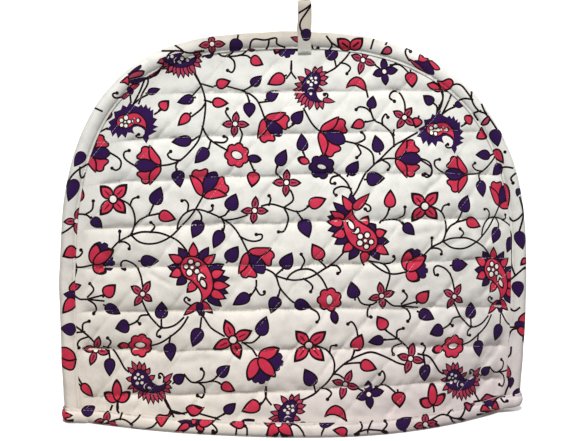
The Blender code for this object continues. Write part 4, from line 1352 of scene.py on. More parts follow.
def printed_cotton(name, colour, roughness, thread_shows):
    """Printed plain-weave cotton: thread by thread relief, uneven ink, and painted shade towards the hem and
    over the top.
    """
    nodes = Nodes(name, roughness)
    uv = nodes.add("UVMap", uv_map="cloth").outputs[0]
    place = nodes.add("TexCoord").outputs["Object"]
    height = weave(nodes, uv)
    slubs = nodes.noise(uv, SLUB_RATE, detail=3.0)
    uneven = nodes.noise(place, UNEVEN_RATE, detail=4.0, roughness=0.6)
    base = linear(colour)
    worn = linear([min(255, c + (255 - c) * WORN_SHARE) for c in colour])
    deep = linear([c * DEEP_SHARE for c in colour])
    tone = nodes.mix(nodes.math("MULTIPLY", height, thread_shows * 4.0, clamp=True), base, worn)
    blotches = nodes.noise(place, BLOTCH_RATE, detail=3.0, roughness=0.5)
    for field, (threshold, gain) in zip((slubs, uneven, blotches), DEEPER):
        above = nodes.math("SUBTRACT", field, threshold, clamp=True)
        tone = nodes.mix(nodes.math("MULTIPLY", above, gain, clamp=True), tone, deep)
    # painted shade: the lower left of the cloth is darker and warmer towards the hem
    lower_left_shade = nodes.mix(1.0, tone, linear(PAINTED_SHADE_LOWER_LEFT), blend="MULTIPLY")
    split = nodes.add("SeparateXYZ")
    nodes.link(place, split.inputs[0])
    low = nodes.math("SUBTRACT", 1.0, nodes.math("MULTIPLY", split.outputs[2], 5.0), clamp=True)
    left = nodes.math("SUBTRACT", 0.62, nodes.math("MULTIPLY", split.outputs[0], 2.6), clamp=True)
    tone = nodes.mix(nodes.math("MULTIPLY", low, left, clamp=True), tone, lower_left_shade)
    # painted shade: the lower right of the cloth is darker and pinker towards the hem
    lower_right_shade = nodes.mix(1.0, tone, linear(PAINTED_SHADE_LOWER_RIGHT), blend="MULTIPLY")
    foot = nodes.math("SUBTRACT", 1.0, nodes.math("MULTIPLY", split.outputs[2], 7.5), clamp=True)
    right = nodes.math("ADD", 0.45, nodes.math("MULTIPLY", split.outputs[0], 6.5), clamp=True)
    tone = nodes.mix(nodes.math("MULTIPLY", foot, right, clamp=True), tone, lower_right_shade)
    # painted shade: the cloth over the top of the cosy is darker and beiger
    top_shade = nodes.mix(1.0, tone, linear(PAINTED_SHADE_TOP), blend="MULTIPLY")
    top = nodes.math("MULTIPLY", nodes.math("SUBTRACT", split.outputs[2], PAINTED_SHADE_TOP_FROM), 66.0, clamp=True)
    tone = nodes.mix(top, tone, top_shade)
    nodes.link(tone, nodes.shader.inputs["Base Color"])
    rough = nodes.math("ADD", nodes.math("MULTIPLY", slubs, 0.10), roughness - 0.05, clamp=True)
    nodes.link(rough, nodes.shader.inputs["Roughness"])
    bump = nodes.add("Bump")
    bump.inputs["Strength"].default_value = CLOTH_BUMP
    bump.inputs["Distance"].default_value = CLOTH_BUMP_DEPTH
    nodes.link(nodes.math("ADD", height, nodes.math("MULTIPLY", slubs, 0.6)), bump.inputs["Height"])
    nodes.link(bump.outputs[0], nodes.shader.inputs["Normal"])
    nodes.shader.inputs["Sheen Weight"].default_value = CLOTH_SHEEN
    nodes.shader.inputs["Sheen Roughness"].default_value = 0.5
    return nodes.material


THREAD_DARK, THREAD_LIGHT = (186, 178, 170), (212, 205, 196)


def sewing_thread():
    """Pale twisted cotton thread."""
    nodes = Nodes("sewing_thread", 0.6)
    place = nodes.add("TexCoord").outputs["Object"]
    fibres = nodes.noise(place, 1400.0, detail=3.0)
    tone = nodes.mix(fibres, linear(THREAD_DARK), linear(THREAD_LIGHT))
    nodes.link(tone, nodes.shader.inputs["Base Color"])
    bump = nodes.add("Bump")
    bump.inputs["Strength"].default_value = 0.5
    bump.inputs["Distance"].default_value = 0.0001
    nodes.link(fibres, bump.inputs["Height"])
    nodes.link(bump.outputs[0], nodes.shader.inputs["Normal"])
    nodes.shader.inputs["Sheen Weight"].default_value = 0.2
    return nodes.material


# ---------------------------------------------------------------- floor, light and the whole scene


FLOOR_SIZE = 12.0
FLOOR_DROP = 0.0002  # the floor lies this far under the hem
FLOOR_TONES = ((250, 250, 249), (253, 253, 253))
SUN_COLOUR = (1.0, 0.995, 0.985)
SUNS = (
    # name, where its light comes from, energy, angle in degrees
    ("key", (-0.03, -0.70, 1.15), 3.38, 9.0),
    ("back", (0.35, 1.0, 0.50), 1.7, 12.0),
)
WORLD_STRENGTH = 0.38


def add_floor():
    bpy.ops.mesh.primitive_plane_add(size=FLOOR_SIZE, location=(0.0, 0.0, -FLOOR_DROP))
    floor = bpy.context.object
    floor.name = "floor"
    nodes = Nodes("floor_white", 0.7)
    place = nodes.add("TexCoord").outputs["Object"]
    tone = nodes.mix(nodes.noise(place, 3.0), *[linear(tone) for tone in FLOOR_TONES])
    nodes.link(tone, nodes.shader.inputs["Base Color"])
    nodes.shader.inputs["Specular IOR Level"].default_value = 0.1
    floor.data.materials.append(nodes.material)
    floor.visible_diffuse = False  # the cloth's undersides stay shaded, as on a cut-out photograph


def add_sun(name, comes_from, energy, angle):
    sun = bpy.data.lights.new(name, "SUN")
    sun.energy = energy
    sun.angle = math.radians(angle)
    sun.color = SUN_COLOUR
    lamp = bpy.data.objects.new(name, sun)
    lamp.rotation_euler = (-Vector(comes_from)).to_track_quat("-Z", "Y").to_euler()
    bpy.context.scene.collection.objects.link(lamp)


def add_light():
    for row in SUNS:
        add_sun(*row)
    world = bpy.data.worlds.new("studio")
    bpy.context.scene.world = world
    world.use_nodes = True
    background = world.node_tree.nodes["Background"]
    background.inputs["Color"].default_value = (1.0, 1.0, 1.0, 1.0)
    background.inputs["Strength"].default_value = WORLD_STRENGTH


# ---------------------------------------------------------------- bindings and loop


def resampled(points, step):
    """Even points along a path, with their distance along it."""
    run = np.concatenate(([0.0], np.cumsum(np.linalg.norm(np.diff(points, axis=0), axis=1))))
    even = np.linspace(0.0, run[-1], int(run[-1] / step) + 1)
    return np.stack([np.interp(even, run, points[:, k]) for k in range(points.shape[1])], axis=1), even


def arch_path():
    """Distance, place and inward normal along the cosy's outer edge, from its left foot to its right one."""
    sides = []
    share = 0.5 - 0.5 * np.cos(np.linspace(0.0, math.pi, 400))
    for end, sign in (("left", -1.0), ("right", 1.0)):
        arch = ARCH[end]
        rows = np.linspace(HEM_CLOTH + GAP, arch["spring"], 120)[:-1]
        angle = share * math.pi / 2.0
        across = np.maximum(np.cos(angle), 0.0) ** (2.0 / arch["power"])
        up = np.sin(angle) ** (2.0 / arch["power"])
        x = np.concatenate((half_width(np.full_like(rows, sign), rows), arch["reach"] * across)) * sign
        z = np.concatenate((rows, arch["spring"] + (HEIGHT - arch["spring"]) * up))
        sides.append(np.stack((x, z), axis=1))
    places, run = resampled(np.concatenate((sides[0], sides[1][::-1][1:])), 0.0006)
    window = np.hanning(17) / np.hanning(17).sum()
    along = np.gradient(places, axis=0)
    padded = [np.pad(along[:, k], 8, mode="edge") for k in (0, 1)]
    along = np.stack([np.convolve(row, window, mode="valid") for row in padded], axis=1)
    along /= np.linalg.norm(along, axis=1)[:, None]
    return run, places, np.stack((along[:, 1], -along[:, 0]), axis=1)


ARCH_RUN, ARCH_PLACES, ARCH_NORMALS = arch_path()
EDGE_ROUND = 0.003  # the binding is round from its outer edge to this far in
EDGE_ROUND_RUN = 0.0060  # length of cloth that takes
EDGE_REACH = EDGE_ROUND_RUN + EDGE_WIDTH - EDGE_ROUND  # from the outer edge to the sewn edge, along the cloth
STITCH_IN = 0.0104  # the seam that holds the binding, measured in from the outer edge
EDGE_CROWN = 0.0024


def along_arch(run, inward):
    place = [np.interp(run, ARCH_RUN, ARCH_PLACES[:, k]) for k in (0, 1)]
    normal = [np.interp(run, ARCH_RUN, ARCH_NORMALS[:, k]) for k in (0, 1)]
    return place[0] + normal[0] * inward, place[1] + normal[1] * inward


def strip_puckers(run, across, seed):
    """Small pulls across a sewn strip, from -1 to 1."""
    return (0.55 * value_noise(run / 0.0055 + across / 0.020, across / 0.016, seed)
            + 0.45 * value_noise(run / 0.017 - across / 0.020, across / 0.020, seed + 1))


EDGE_INSIDE_START = 0.0012  # the inner layer of the edge binding starts this far in from the outer edge
HEM_INSIDE_START = 0.0011  # and that of the hem binding this far up from the fold
HEM_STITCH_UP = 0.0100  # the seam that holds the hem binding, measured up from the fold
DENT = 0.0009  # how deep a seam pulls a binding in
DENT_HALF = 0.0007
PUCKER_DEPTH = 0.00030
EDGE_LEAST, EDGE_SWELL = 0.0015, 0.0020  # how far the edge binding stands off the panel, and swells past that
HEM_LEAST, HEM_SWELL = 0.0014, 0.0012
HEM_SWELL_TO = 0.0098
EDGE_HELD = 0.6  # how much of its wander the seam takes from the edge binding
SEEDS = {"edge": 71, "edge fine": 72, "edge puckers": 73, "hem puckers": 83, "hem": 85, "loop puckers": 91,
         "loop": 95}


def seam_dent(place, seam):
    """How far a seam pulls a binding in, across the binding."""
    return DENT * np.exp(-(((place - seam) / DENT_HALF) ** 2))


def edge_skin(chart, layer):
    """The edge binding: along it in x, and in y from its front sewn edge over its outer edge to the back."""
    run, t = chart[:, 0] * UNIT, chart[:, 1] * UNIT
    away = np.abs(t)
    angle = math.pi / 2.0 * np.minimum(away / EDGE_ROUND_RUN, 1.0)
    past = np.maximum(away - EDGE_ROUND_RUN, 0.0)
    start = 0.0 if layer == 0 else EDGE_INSIDE_START
    inward = start + (EDGE_ROUND - start) * (1.0 - np.cos(angle)) + past
    edge = 0.0005 * value_noise(run / 0.034, np.zeros_like(run), SEEDS["edge"])
    edge = edge + 0.0002 * value_noise(run / 0.009, np.zeros_like(run), SEEDS["edge fine"])
    held = smooth_step(inward, 0.0, STITCH_IN)
    x, z = along_arch(run, inward + edge * (1.0 - EDGE_HELD * held))
    x_even, z_even = along_arch(run, inward)
    face = np.where(t < 0.0, face_depth("front", x_even, z_even), face_depth("back", x_even, z_even))
    if layer == 0:
        puckers = strip_puckers(run, t, SEEDS["edge puckers"])
        over = GAP + EDGE_LEAST + EDGE_SWELL * np.sin(math.pi * np.clip(inward / STITCH_IN, 0.0, 1.0))
        over -= seam_dent(inward, STITCH_IN)
        over -= 0.0009 * smooth_step(inward, EDGE_WIDTH - 0.0007, EDGE_WIDTH)
        over += (PUCKER_DEPTH * puckers * smooth_step(inward, 0.0, 0.004)
                 * (1.0 - smooth_step(inward, 0.0112, EDGE_WIDTH)))
    else:
        over = np.full_like(run, 0.6 * GAP)
    depth = (face + over) * np.sin(angle)
    return settle(x, np.where(t < 0.0, -1.0, 1.0) * depth, z)


def blended(table, u, v):
    """Bilinear reading of table[i, j] at fractional rows u and columns v."""
    u = np.clip(u, 0.0, table.shape[0] - 1.001)
    v = np.clip(v, 0.0, table.shape[1] - 1.001)
    i, j = u.astype(int), v.astype(int)
    a, b = (u - i)[:, None], (v - j)[:, None]
    return ((table[i, j] * (1 - a) + table[i + 1, j] * a) * (1 - b)
            + (table[i, j + 1] * (1 - a) + table[i + 1, j + 1] * a) * b)


def hem_cover(side, x, z):
    """Depth of what the hem binding lies on: the panel, and near the seam the edge binding over it."""
    inner_edge = half_width(x, z) - EDGE_WIDTH
    climb = smooth_step(np.abs(x), inner_edge - 0.005, inner_edge)
    return face_depth(side, x, z) + climb * (GAP + EDGE_CROWN) + 1.5 * GAP


HEM_HEIGHTS = np.linspace(0.0, HEM_WIDTH, 12)
HEM_STATIONS = 260  # along each panel
NOSE_STATIONS = 24  # round each end of the opening


def hem_front_or_back(side):
    """Tables of the places and outward normals in plan that the hem wraps, outer leg and inner leg."""
    sign = -1.0 if side == "front" else 1.0
    share = np.sin(math.pi / 2.0 * np.linspace(-1.0, 1.0, HEM_STATIONS))[:, None]
    z = HEM_HEIGHTS[None, :] + 0.0 * share
    step = 0.0005
    x = share * (half_width(share + 0.0 * z, z) - NOSE_LENGTH)
    slope = (hem_cover(side, x + step, z) - hem_cover(side, x - step, z)) / (2.0 * step)
    length = np.hypot(slope, 1.0)
    outer = np.stack((x, sign * hem_cover(side, x, z)), axis=2)
    outer_normal = np.stack((-slope / length, sign / length), axis=2)
    inner_x = share * (half_width(share + 0.0 * z, z) - INNER_STOP)
    slope = (face_depth(side, inner_x + step, z) - face_depth(side, inner_x - step, z)) / (2.0 * step)
    through = (PANEL_THICK + 2.0 * GAP) * np.sqrt(1.0 + slope * slope)
    inner_depth = np.maximum(face_depth(side, inner_x, z) - through, INNER_TURN)
    length = np.hypot(slope, 1.0)
    inner = np.stack((inner_x, sign * inner_depth), axis=2)
    inner_normal = np.stack((slope / length, -sign / length), axis=2)
    return outer, outer_normal, inner, inner_normal


def hem_nose(end):
    """The same round an end of the opening, from the front panel to the back one."""
    share = (np.arange(1, NOSE_STATIONS + 1) / (NOSE_STATIONS + 1))[:, None]
    angle = math.pi * (share - 0.5)
    z = HEM_HEIGHTS[None, :] + 0.0 * share
    signs = np.full_like(z, end)
    outer_x = half_width(signs, z) - NOSE_LENGTH
    front = share < 0.5
    deep = np.where(front, hem_cover("front", end * outer_x, z), hem_cover("back", end * outer_x, z))
    outer = np.stack((end * (outer_x + (NOSE_LENGTH + GAP) * np.cos(angle)), deep * np.sin(angle)), axis=2)
    normal = np.stack((end * np.cos(angle) + 0.0 * z, np.sin(angle) + 0.0 * z), axis=2)
    inner_x = half_width(signs, z) - INNER_STOP
    face = np.where(front, face_depth("front", end * inner_x, z), face_depth("back", end * inner_x, z))
    turn = np.maximum(face - 1.1 * PANEL_THICK - 2.0 * GAP, INNER_TURN)
    inner = np.stack((end * (inner_x + 0.5 * INNER_TURN * np.cos(angle)), turn * np.sin(angle)), axis=2)
    inner_normal = np.stack((-end * 0.6 * np.cos(angle) + 0.0 * z, -np.sin(angle) + 0.0 * z), axis=2)
    return outer, normal, inner, inner_normal


def hem_ring():
    """The four tables joined round the opening, from the back's left end on, and the distance round it."""
    left = hem_nose(-1.0)
    parts = [left, hem_front_or_back("front"), hem_nose(1.0), hem_front_or_back("back")]
    turned = [False, False, False, True]
    tables = []
    for k in range(4):
        rows = [part[k][::-1] if back else part[k] for part, back in zip(parts, turned)]
        rows[0] = left[k][::-1]
        tables.append(np.concatenate(rows + [rows[0][:1]]))
    step = np.linalg.norm(np.diff(tables[0][:, 4], axis=0), axis=1)
    return tables, np.concatenate(([0.0], np.cumsum(step)))


HEM_TABLES, HEM_RUN = hem_ring()
HEM_ROUND = 0.0021  # height of the round fold
HEM_ROUND_RUN = 0.0048
HEM_REACH = HEM_ROUND_RUN + HEM_WIDTH - HEM_ROUND


def hem_skin(chart, layer):
    """The hem binding: round the opening in x, and in y from its outer sewn edge under to the inner one."""
    run, t = chart[:, 0] * UNIT, chart[:, 1] * UNIT
    away = np.abs(t)
    angle = math.pi / 2.0 * np.minimum(away / HEM_ROUND_RUN, 1.0) * np.sign(t)
    past = np.maximum(away - HEM_ROUND_RUN, 0.0)
    start = 0.0 if layer == 0 else HEM_INSIDE_START
    z = start + (HEM_ROUND - start) * (1.0 - np.cos(angle)) + past
    station = np.interp(run, HEM_RUN, np.arange(len(HEM_RUN)))
    row = z / HEM_HEIGHTS[1]
    outer, outer_normal, inner, inner_normal = [blended(table, station, row) for table in HEM_TABLES]
    if layer == 0:
        puckers = strip_puckers(run, t, SEEDS["hem puckers"])
        out = HEM_LEAST + HEM_SWELL * np.sin(math.pi * np.clip(z / HEM_SWELL_TO, 0.0, 1.0))
        out -= seam_dent(z, HEM_STITCH_UP)
        out -= 0.0008 * smooth_step(z, HEM_WIDTH - 0.0006, HEM_WIDTH)
        out += (PUCKER_DEPTH * puckers * smooth_step(z, 0.001, 0.004)
                * (1.0 - smooth_step(z, 0.0106, HEM_WIDTH)))
    else:
        out = np.full_like(run, 0.00012)
    share = ((1.0 + np.sin(angle)) / 2.0)[:, None]
    outer_leg = outer + outer_normal * out[:, None]
    inner_leg = inner + inner_normal * out[:, None]
    plan = outer_leg * share + inner_leg * (1.0 - share)
    if layer == 0:
        drift = 0.0004 * value_noise(run / 0.030, np.zeros_like(run), SEEDS["hem"])
        z = z + drift * smooth_step(z, 0.006, HEM_WIDTH)
    return settle(plan[:, 0], plan[:, 1], z)


def loop_path():
    """(y, z) of the strap's middle line, from its front end up, over and down to its back end."""
    over = GAP + EDGE_CROWN + GAP + LOOP_CLOTH / 2.0
    leg_y = (LOOP_GAP + LOOP_CLOTH) / 2.0
    # Sewn down: its ends lie on the panel, and it follows the round of the binding above the binding's seam.
    sewn = HEIGHT - np.array((LOOP_TAIL, 0.0122, 0.0100, 0.0045, 0.0010))
    lie = np.array((-0.0019, -0.0014, -0.0006, 0.0005, 0.0))
    legs = {}
    for side in ("front", "back"):
        depth = face_depth(side, np.full(len(sewn), LOOP_X), sewn) + over + lie
        free = [(leg_y + 0.0016, HEIGHT + 0.0070), (leg_y + 0.0003, HEIGHT + 0.0135)]
        legs[side] = list(zip(depth, sewn)) + free
    top = HEIGHT + LOOP_RISE - LOOP_CLOTH / 2.0 - 0.0006
    angles = np.linspace(0.0, math.pi, 8)
    turn = [(leg_y * math.cos(a), top - leg_y * 1.15 + leg_y * 1.15 * math.sin(a)) for a in angles]
    path = [(-y, z) for y, z in legs["front"]] + [(-y, z) for y, z in turn] + list(reversed(legs["back"]))
    return resampled(curve_through(path, steps=10), 0.0004)


LOOP_PLACES, LOOP_RUN = loop_path()
LOOP_LENGTH = LOOP_RUN[-1]


LOOP_PUCKER = 0.00018
LOOP_GROOVE = 0.00035  # a groove runs along each side of the strap
LOOP_GROOVE_AT = 0.0039  # from the strap's middle line
LOOP_GROOVE_HALF = 0.0004
LOOP_SWAY = 0.0007  # how far the standing loop leans to the side
LOOP_ROWS = (0.0014, 0.0112)  # rows of stitches across the strap, from each end of it


def loop_skin(chart, layer):
    """The hanging loop: along the strap in x and across it in y."""
    run, t = chart[:, 0] * UNIT, chart[:, 1] * UNIT
    y, z = (np.interp(run, LOOP_RUN, LOOP_PLACES[:, k]) for k in (0, 1))
    along = np.gradient(LOOP_PLACES, axis=0)
    along /= np.linalg.norm(along, axis=1)[:, None]
    dy, dz = (np.interp(run, LOOP_RUN, along[:, k]) for k in (0, 1))
    share = t / (LOOP_WIDTH / 2.0)
    flattened = np.sqrt(np.maximum(1.0 - np.abs(share) ** 6, 0.0))
    half = LOOP_CLOTH / 2.0 * flattened * (1.0 - 0.25 * share * share)
    half = half + LOOP_PUCKER * strip_puckers(run, t, SEEDS["loop puckers"]) * (1.0 - share * share)
    half = half - LOOP_GROOVE * np.exp(-(((np.abs(t) - LOOP_GROOVE_AT) / LOOP_GROOVE_HALF) ** 2))
    half = half * (0.25 + 0.75 * smooth_step(np.minimum(run, LOOP_LENGTH - run), 0.0, 0.0016))
    out = half * (1.0 if layer == 0 else -1.0)
    width = 1.0 + 0.05 * value_noise(run / 0.012, np.zeros_like(run), SEEDS["loop"])
    sway = LOOP_SWAY * np.sin((z - HEIGHT) / 0.030 * math.pi) * smooth_step(z, HEIGHT, HEIGHT + 0.006)
    return settle(LOOP_X + t * width + sway, y - dz * out, z + dy * out)


def strip_outline(length, low, high, step=2.2):
    """A long rectangle in chart units, with points close together along it."""
    x = np.arange(0.0, length, step)
    y = np.arange(low, high, 1.7)[1:]
    rows = [np.stack((x, np.full_like(x, low)), axis=1), np.stack((np.full_like(y, length), y), axis=1),
            np.stack((x[::-1] + length - x[-1], np.full_like(x, high)), axis=1),
            np.stack((np.zeros_like(y), y[::-1]), axis=1)]
    rows[0] = np.concatenate((rows[0], [[length, low]]))
    rows[2] = np.concatenate((rows[2][:-1] if rows[2][-1][0] < 1.0 else rows[2], [[0.0, high]]))
    return np.concatenate(rows)


def strip_from_photo(skin, outline):
    """A function from chart positions seen in the photograph to the strip's own flat coordinates."""
    low, high = outline.min(axis=0), outline.max(axis=0)
    s, t = np.meshgrid(np.arange(low[0], high[0], 1.5), np.arange(low[1], high[1], 0.8))
    flat = np.stack((s.ravel(), t.ravel()), axis=1)
    seen = seen_at(skin(flat, 0))

    def place(points):
        near = np.array([flat[np.argmin(np.sum((seen - point) ** 2, axis=1))] for point in points])
        for _ in range(2):
            here = seen_at(skin(near, 0))
            step = 0.4
            ds = (seen_at(skin(near + (step, 0.0), 0)) - here) / step
            dt = (seen_at(skin(near + (0.0, step), 0)) - here) / step
            error = points - here
            spread = ds[:, 0] * dt[:, 1] - ds[:, 1] * dt[:, 0]
            spread = np.where(np.abs(spread) < 0.25, 1e9, spread)
            move_s = (error[:, 0] * dt[:, 1] - error[:, 1] * dt[:, 0]) / spread
            move_t = (ds[:, 0] * error[:, 1] - ds[:, 1] * error[:, 0]) / spread
            near = near + np.clip(np.stack((move_s, move_t), axis=1), -1.5, 1.5)
        return np.clip(near, low - 4.0, high + 4.0)

    return place


EDGE_FRONT_PRINT = (  # what the photograph shows on the front of the edge binding, in chart units
    (blob, ((59, 349), (65, 346.5), (71, 349), (75.5, 354), (76.5, 362), (74, 369.5), (68, 370.5),
            (60, 364)), "red"),
    (vine, (60, 357), (68, 360.5), (75.5, 359.5)),
    (vine, (75, 330), (82, 333), (90, 340), (94, 346)),
    (petal, (76, 330), (60, 328), 13.5, "purple", 1.1),
    (petal, (71, 293), (80, 278), 11, "red"),
    (petal, (77, 296), (63, 294), 10, "purple", 1.0),
    (petal, (75, 298), (62, 314), 13, "red"),
    (petal, (77, 249), (62, 257), 14, "red"),
    (curl, (84, 248), (81, 256), (77, 258)),
    (vine, (58, 235), (66, 231), (74, 225)),
    (star, (76.5, 221), ((79.5, 207), (63, 222), (78, 236), (90, 220)), 8.0, "crimson", 2.2, 1.3),
    (vine, (88, 164), (78, 170), (71, 177), (66, 186)),
    (petal, (76, 179), (68, 202), 13, "purple", 1.1),
    (curl, (80, 168), (80, 174), (82, 178), (86, 174)),
    (petal, (84, 152), (74, 167), 11.5, "purple", 1.1),
    # round the top
    (vine, (96, 108.5), (101.5, 111)),
    (vine, (163, 51), (180, 51), (190, 53), (203, 51)),
    (vine, (176, 46), (182, 50)),
    (vine, (165, 61), (169, 54), (175, 51)),
    (star, (212, 44), ((198, 46), (226, 44), (212, 55), (211, 35)), 8.0, "crimson", 2.2, 1.3),
    (vine, (238, 36), (237, 42)),
    (petal, (239, 39), (231, 55), 14, "purple", 1.1),
    (vine, (250, 47), (251, 42), (255, 39), (265, 40), (276, 38), (277, 44), (284, 47)),
    (vine, (269, 40), (268, 46), (265, 51)),
    (petal, (257, 54), (247, 49), 7, "crimson", 1.1),
    (curl, (312, 46), (314, 50), (318, 48)),
    (vine, (327, 37), (332, 45), (328, 51)),
    (vine, (332, 43), (338, 47)),
    (round_petal, (351, 50), (336.5, 38), 13, "red"),
    (round_petal, (350, 50), (363.5, 37.5), 13, "red"),
    (vine, (347, 46.5), (343, 43.5)),
    (vine, (354, 46), (358, 43)),
    (petal, (302, 41), (290, 37), 6.5, "crimson", 1.3),
    (vine, (374, 38), (371, 48)),
    (vine, (389, 38), (386, 44)),
    (petal, (392, 48.5), (380, 54), 9.5, "crimson"),
    (curl, (409, 60), (406, 55), (405.5, 50.5), (408, 48.5), (410.5, 51.5)),
    # down the right side
    (vine, (453, 85), (457, 84), (462, 86), (467, 92), (471, 98), (474, 105), (479, 111), (485, 113.5),
     (490, 119), (496, 128)),
    (vine, (471.5, 93), (471.5, 98)),
    (vine, (482, 105), (484, 110), (486, 113)),
    (petal, (494, 129), (498, 147), 13, "purple", 1.1),
    (dot, (505, 152), 1.8, "line"),
    (petal, (494, 149), (504, 164), 10, "red"),
    (petal, (496, 163), (500, 178), 11, "purple", 1.1),
    (vine, (500, 168), (506, 167), (512, 168)),
    (curl, (515, 174), (511, 178), (513, 183)),
    (petal, (500, 182), (495, 206), 11, "red"),
    (petal, (503, 183), (508, 209), 11, "red"),
    (petal, (502, 186), (502, 212), 8, "purple", 1.0),
    (petal, (519, 188), (517, 197), 6, "purple", 1.0),
    (vine, (520, 198), (523, 210), (523, 218), (519, 232)),
    (vine, (510, 218), (513, 221), (519, 218), (523, 213)),
    (petal, (518, 231), (523, 250), 12, "purple", 1.1),
    (petal, (509, 237), (505, 253), 9, "purple", 1.1),
    (vine, (507, 228), (511, 235), (511, 262), (515, 275)),
    (vine, (524, 268), (516, 275), (510, 280)),
    (petal, (527, 258), (520, 266), 7, "red"),
    (petal, (517, 281), (519, 298), 13, "purple", 1.1),
    (vine, (509, 307), (514, 311), (519, 308)),
    (petal, (520, 324), (527, 311), 9, "red"),
    (petal, (514, 325), (528, 325), 9, "purple", 1.0),
    (petal, (519, 326), (526, 339), 9, "red"),
    (vine, (503, 325), (509, 327), (516, 327)),
    (vine, (516, 329), (511, 331), (507, 343)),
    (petal, (525, 344), (524, 333), 5, "purple", 1.0),
    (petal, (526, 367), (524, 354), 5, "purple", 1.0),
    (curl, (511, 348), (510, 355), (503, 360)),
    (petal, (509, 378), (504, 361), 8, "crimson", 1.2),
    (petal, (512, 377), (510, 389), 6, "purple", 1.0),
    (petal, (514, 398), (523, 386), 9, "purple", 1.1),
)


HEM_FRONT_PRINT = (  # what the photograph shows on the front of the hem binding, in chart units
    (star, (106, 422.5), ((94, 421), (108, 410), (121, 427), (104, 434)), 8.0, "crimson", 2.2, 1.3),
    (vine, (112, 421), (120, 419), (127, 421), (135, 427), (143, 429), (152, 427), (157, 422)),
    (vine, (120, 419), (122, 413)),
    (vine, (131, 424), (138, 418), (141, 413)),
    (petal, (196, 425), (177, 421), 8, "purple", 1.0),
    (petal, (192, 423), (208, 421), 9, "purple", 1.0),
    (petal, (190, 424), (176, 431), 9, "red"),
    (petal, (197, 424), (205, 433), 9, "red"),
    (petal, (198, 424), (216, 420), 11, "red"),
    (petal, (192, 425), (197, 416), 7, "red"),
    (vine, (214, 419), (220, 418), (226, 414)),
    (curl, (212, 424), (216, 428), (217, 432), (213, 431)),
    (vine, (237, 426), (236, 434)),
    (petal, (245, 424), (229, 424), 11, "red"),
    (curl, (247, 436), (247, 429), (245, 426)),
    (petal, (279, 424), (262, 421), 13, "red"),
    (petal, (279, 424), (297, 420), 13, "red"),
    (petal, (279, 424), (266, 437), 13, "red"),
    (petal, (279, 424), (294, 437), 13, "red"),
    (ringed_dot, (278.5, 423.5), 3.2),
    (vine, (291, 424), (298, 426), (304, 434)),
    (vine, (325, 426), (321, 435)),
    (petal, (319, 423), (335, 423), 11, "purple", 1.1),
    (petal, (348, 432), (332, 430), 10, "red"),
    (vine, (354, 420), (359, 420), (362, 428), (355, 434)),
    (vine, (382, 417), (375, 418), (371, 423), (367, 433)),
    (vine, (355, 434), (365, 430), (375, 430), (385, 431)),
    (curl, (383, 430), (387, 425), (385, 421)),
    (petal, (397, 428), (412, 417), 13, "purple", 1.1),
    (star, (425.5, 424.5), ((413, 427), (438, 421.5), (425, 412), (428, 436)), 8.0, "crimson", 2.2, 1.3),
    (vine, (431, 420), (440, 415), (447, 415), (453, 418), (460, 418), (464, 412), (465, 408)),
    (vine, (447, 415), (452, 409)),
    (vine, (450, 417), (453, 422)),
    (vine, (469, 404), (470, 396)),
)


def ground_patch(left, right, low, high):
    return [(np.array(((left, low), (right, low), (right, high), (left, high))), "ground")]


# ---------------------------------------------------------------- stitches

STITCH = 0.0026
STITCH_GAP = 0.00025
THREAD_WIDTH = 0.00021
# Each ring of a stitch: its place along the stitch, its width, and how high its middle lies.
STITCH_FORM = ((0.0, 0.35, -0.9), (0.16, 1.0, 0.35), (0.84, 1.0, 0.35), (1.0, 0.35, -0.9))
AHEAD = 0.0004  # how far on either side the thread's direction is taken


def stitches_along(places, outward, stitch=STITCH, gap=STITCH_GAP, width=THREAD_WIDTH):
    """Corners and faces of a row of sewn stitches that follow a path on the cloth."""
    run = np.concatenate(([0.0], np.cumsum(np.linalg.norm(np.diff(places, axis=0), axis=1))))
    starts = np.arange(0.0, run[-1] - stitch, stitch + gap)
    if not len(starts):
        return np.zeros((0, 3)), np.zeros((0, 4), int)
    rings = []
    for share, thick, lift in STITCH_FORM:
        at = starts + stitch * share
        middle = np.stack([np.interp(at, run, places[:, k]) for k in range(3)], axis=1)
        ahead = np.stack([np.interp(at + AHEAD, run, places[:, k]) for k in range(3)], axis=1)
        behind = np.stack([np.interp(at - AHEAD, run, places[:, k]) for k in range(3)], axis=1)
        out = np.stack([np.interp(at, run, outward[:, k]) for k in range(3)], axis=1)
        side = np.cross(ahead - behind, out)
        side /= np.maximum(np.linalg.norm(side, axis=1), 1e-12)[:, None]
        middle = middle + out * lift * width * 0.5
        half = width / 2.0 * thick
        rings.append(np.stack((middle + side * half, middle + out * half * 0.8, middle - side * half,
                               middle - out * half * 0.8), axis=1))
    corners = np.stack(rings, axis=1).reshape(-1, 3)
    quads = []
    for ring in range(3):
        for k in range(4):
            after = (k + 1) % 4
            quads.append((ring * 4 + k, ring * 4 + after, ring * 4 + 4 + after, ring * 4 + 4 + k))
    quads += [(3, 2, 1, 0), (12, 13, 14, 15)]
    faces = (np.array(quads)[None] + 16 * np.arange(len(starts))[:, None, None]).reshape(-1, 4)
    return corners, faces


def seam_runs(points, outline, least=8):
    """The stretches of a row of chart points that lie in the piece, leaving out very short ones."""
    keep = inside(points, outline)
    edges = np.flatnonzero(np.diff(keep.astype(int))) + 1
    runs = [run for run in np.split(points, edges)]
    flags = [bool(part[0]) for part in np.split(keep, edges)]
    return [run for run, flag in zip(runs, flags) if flag and len(run) >= least]


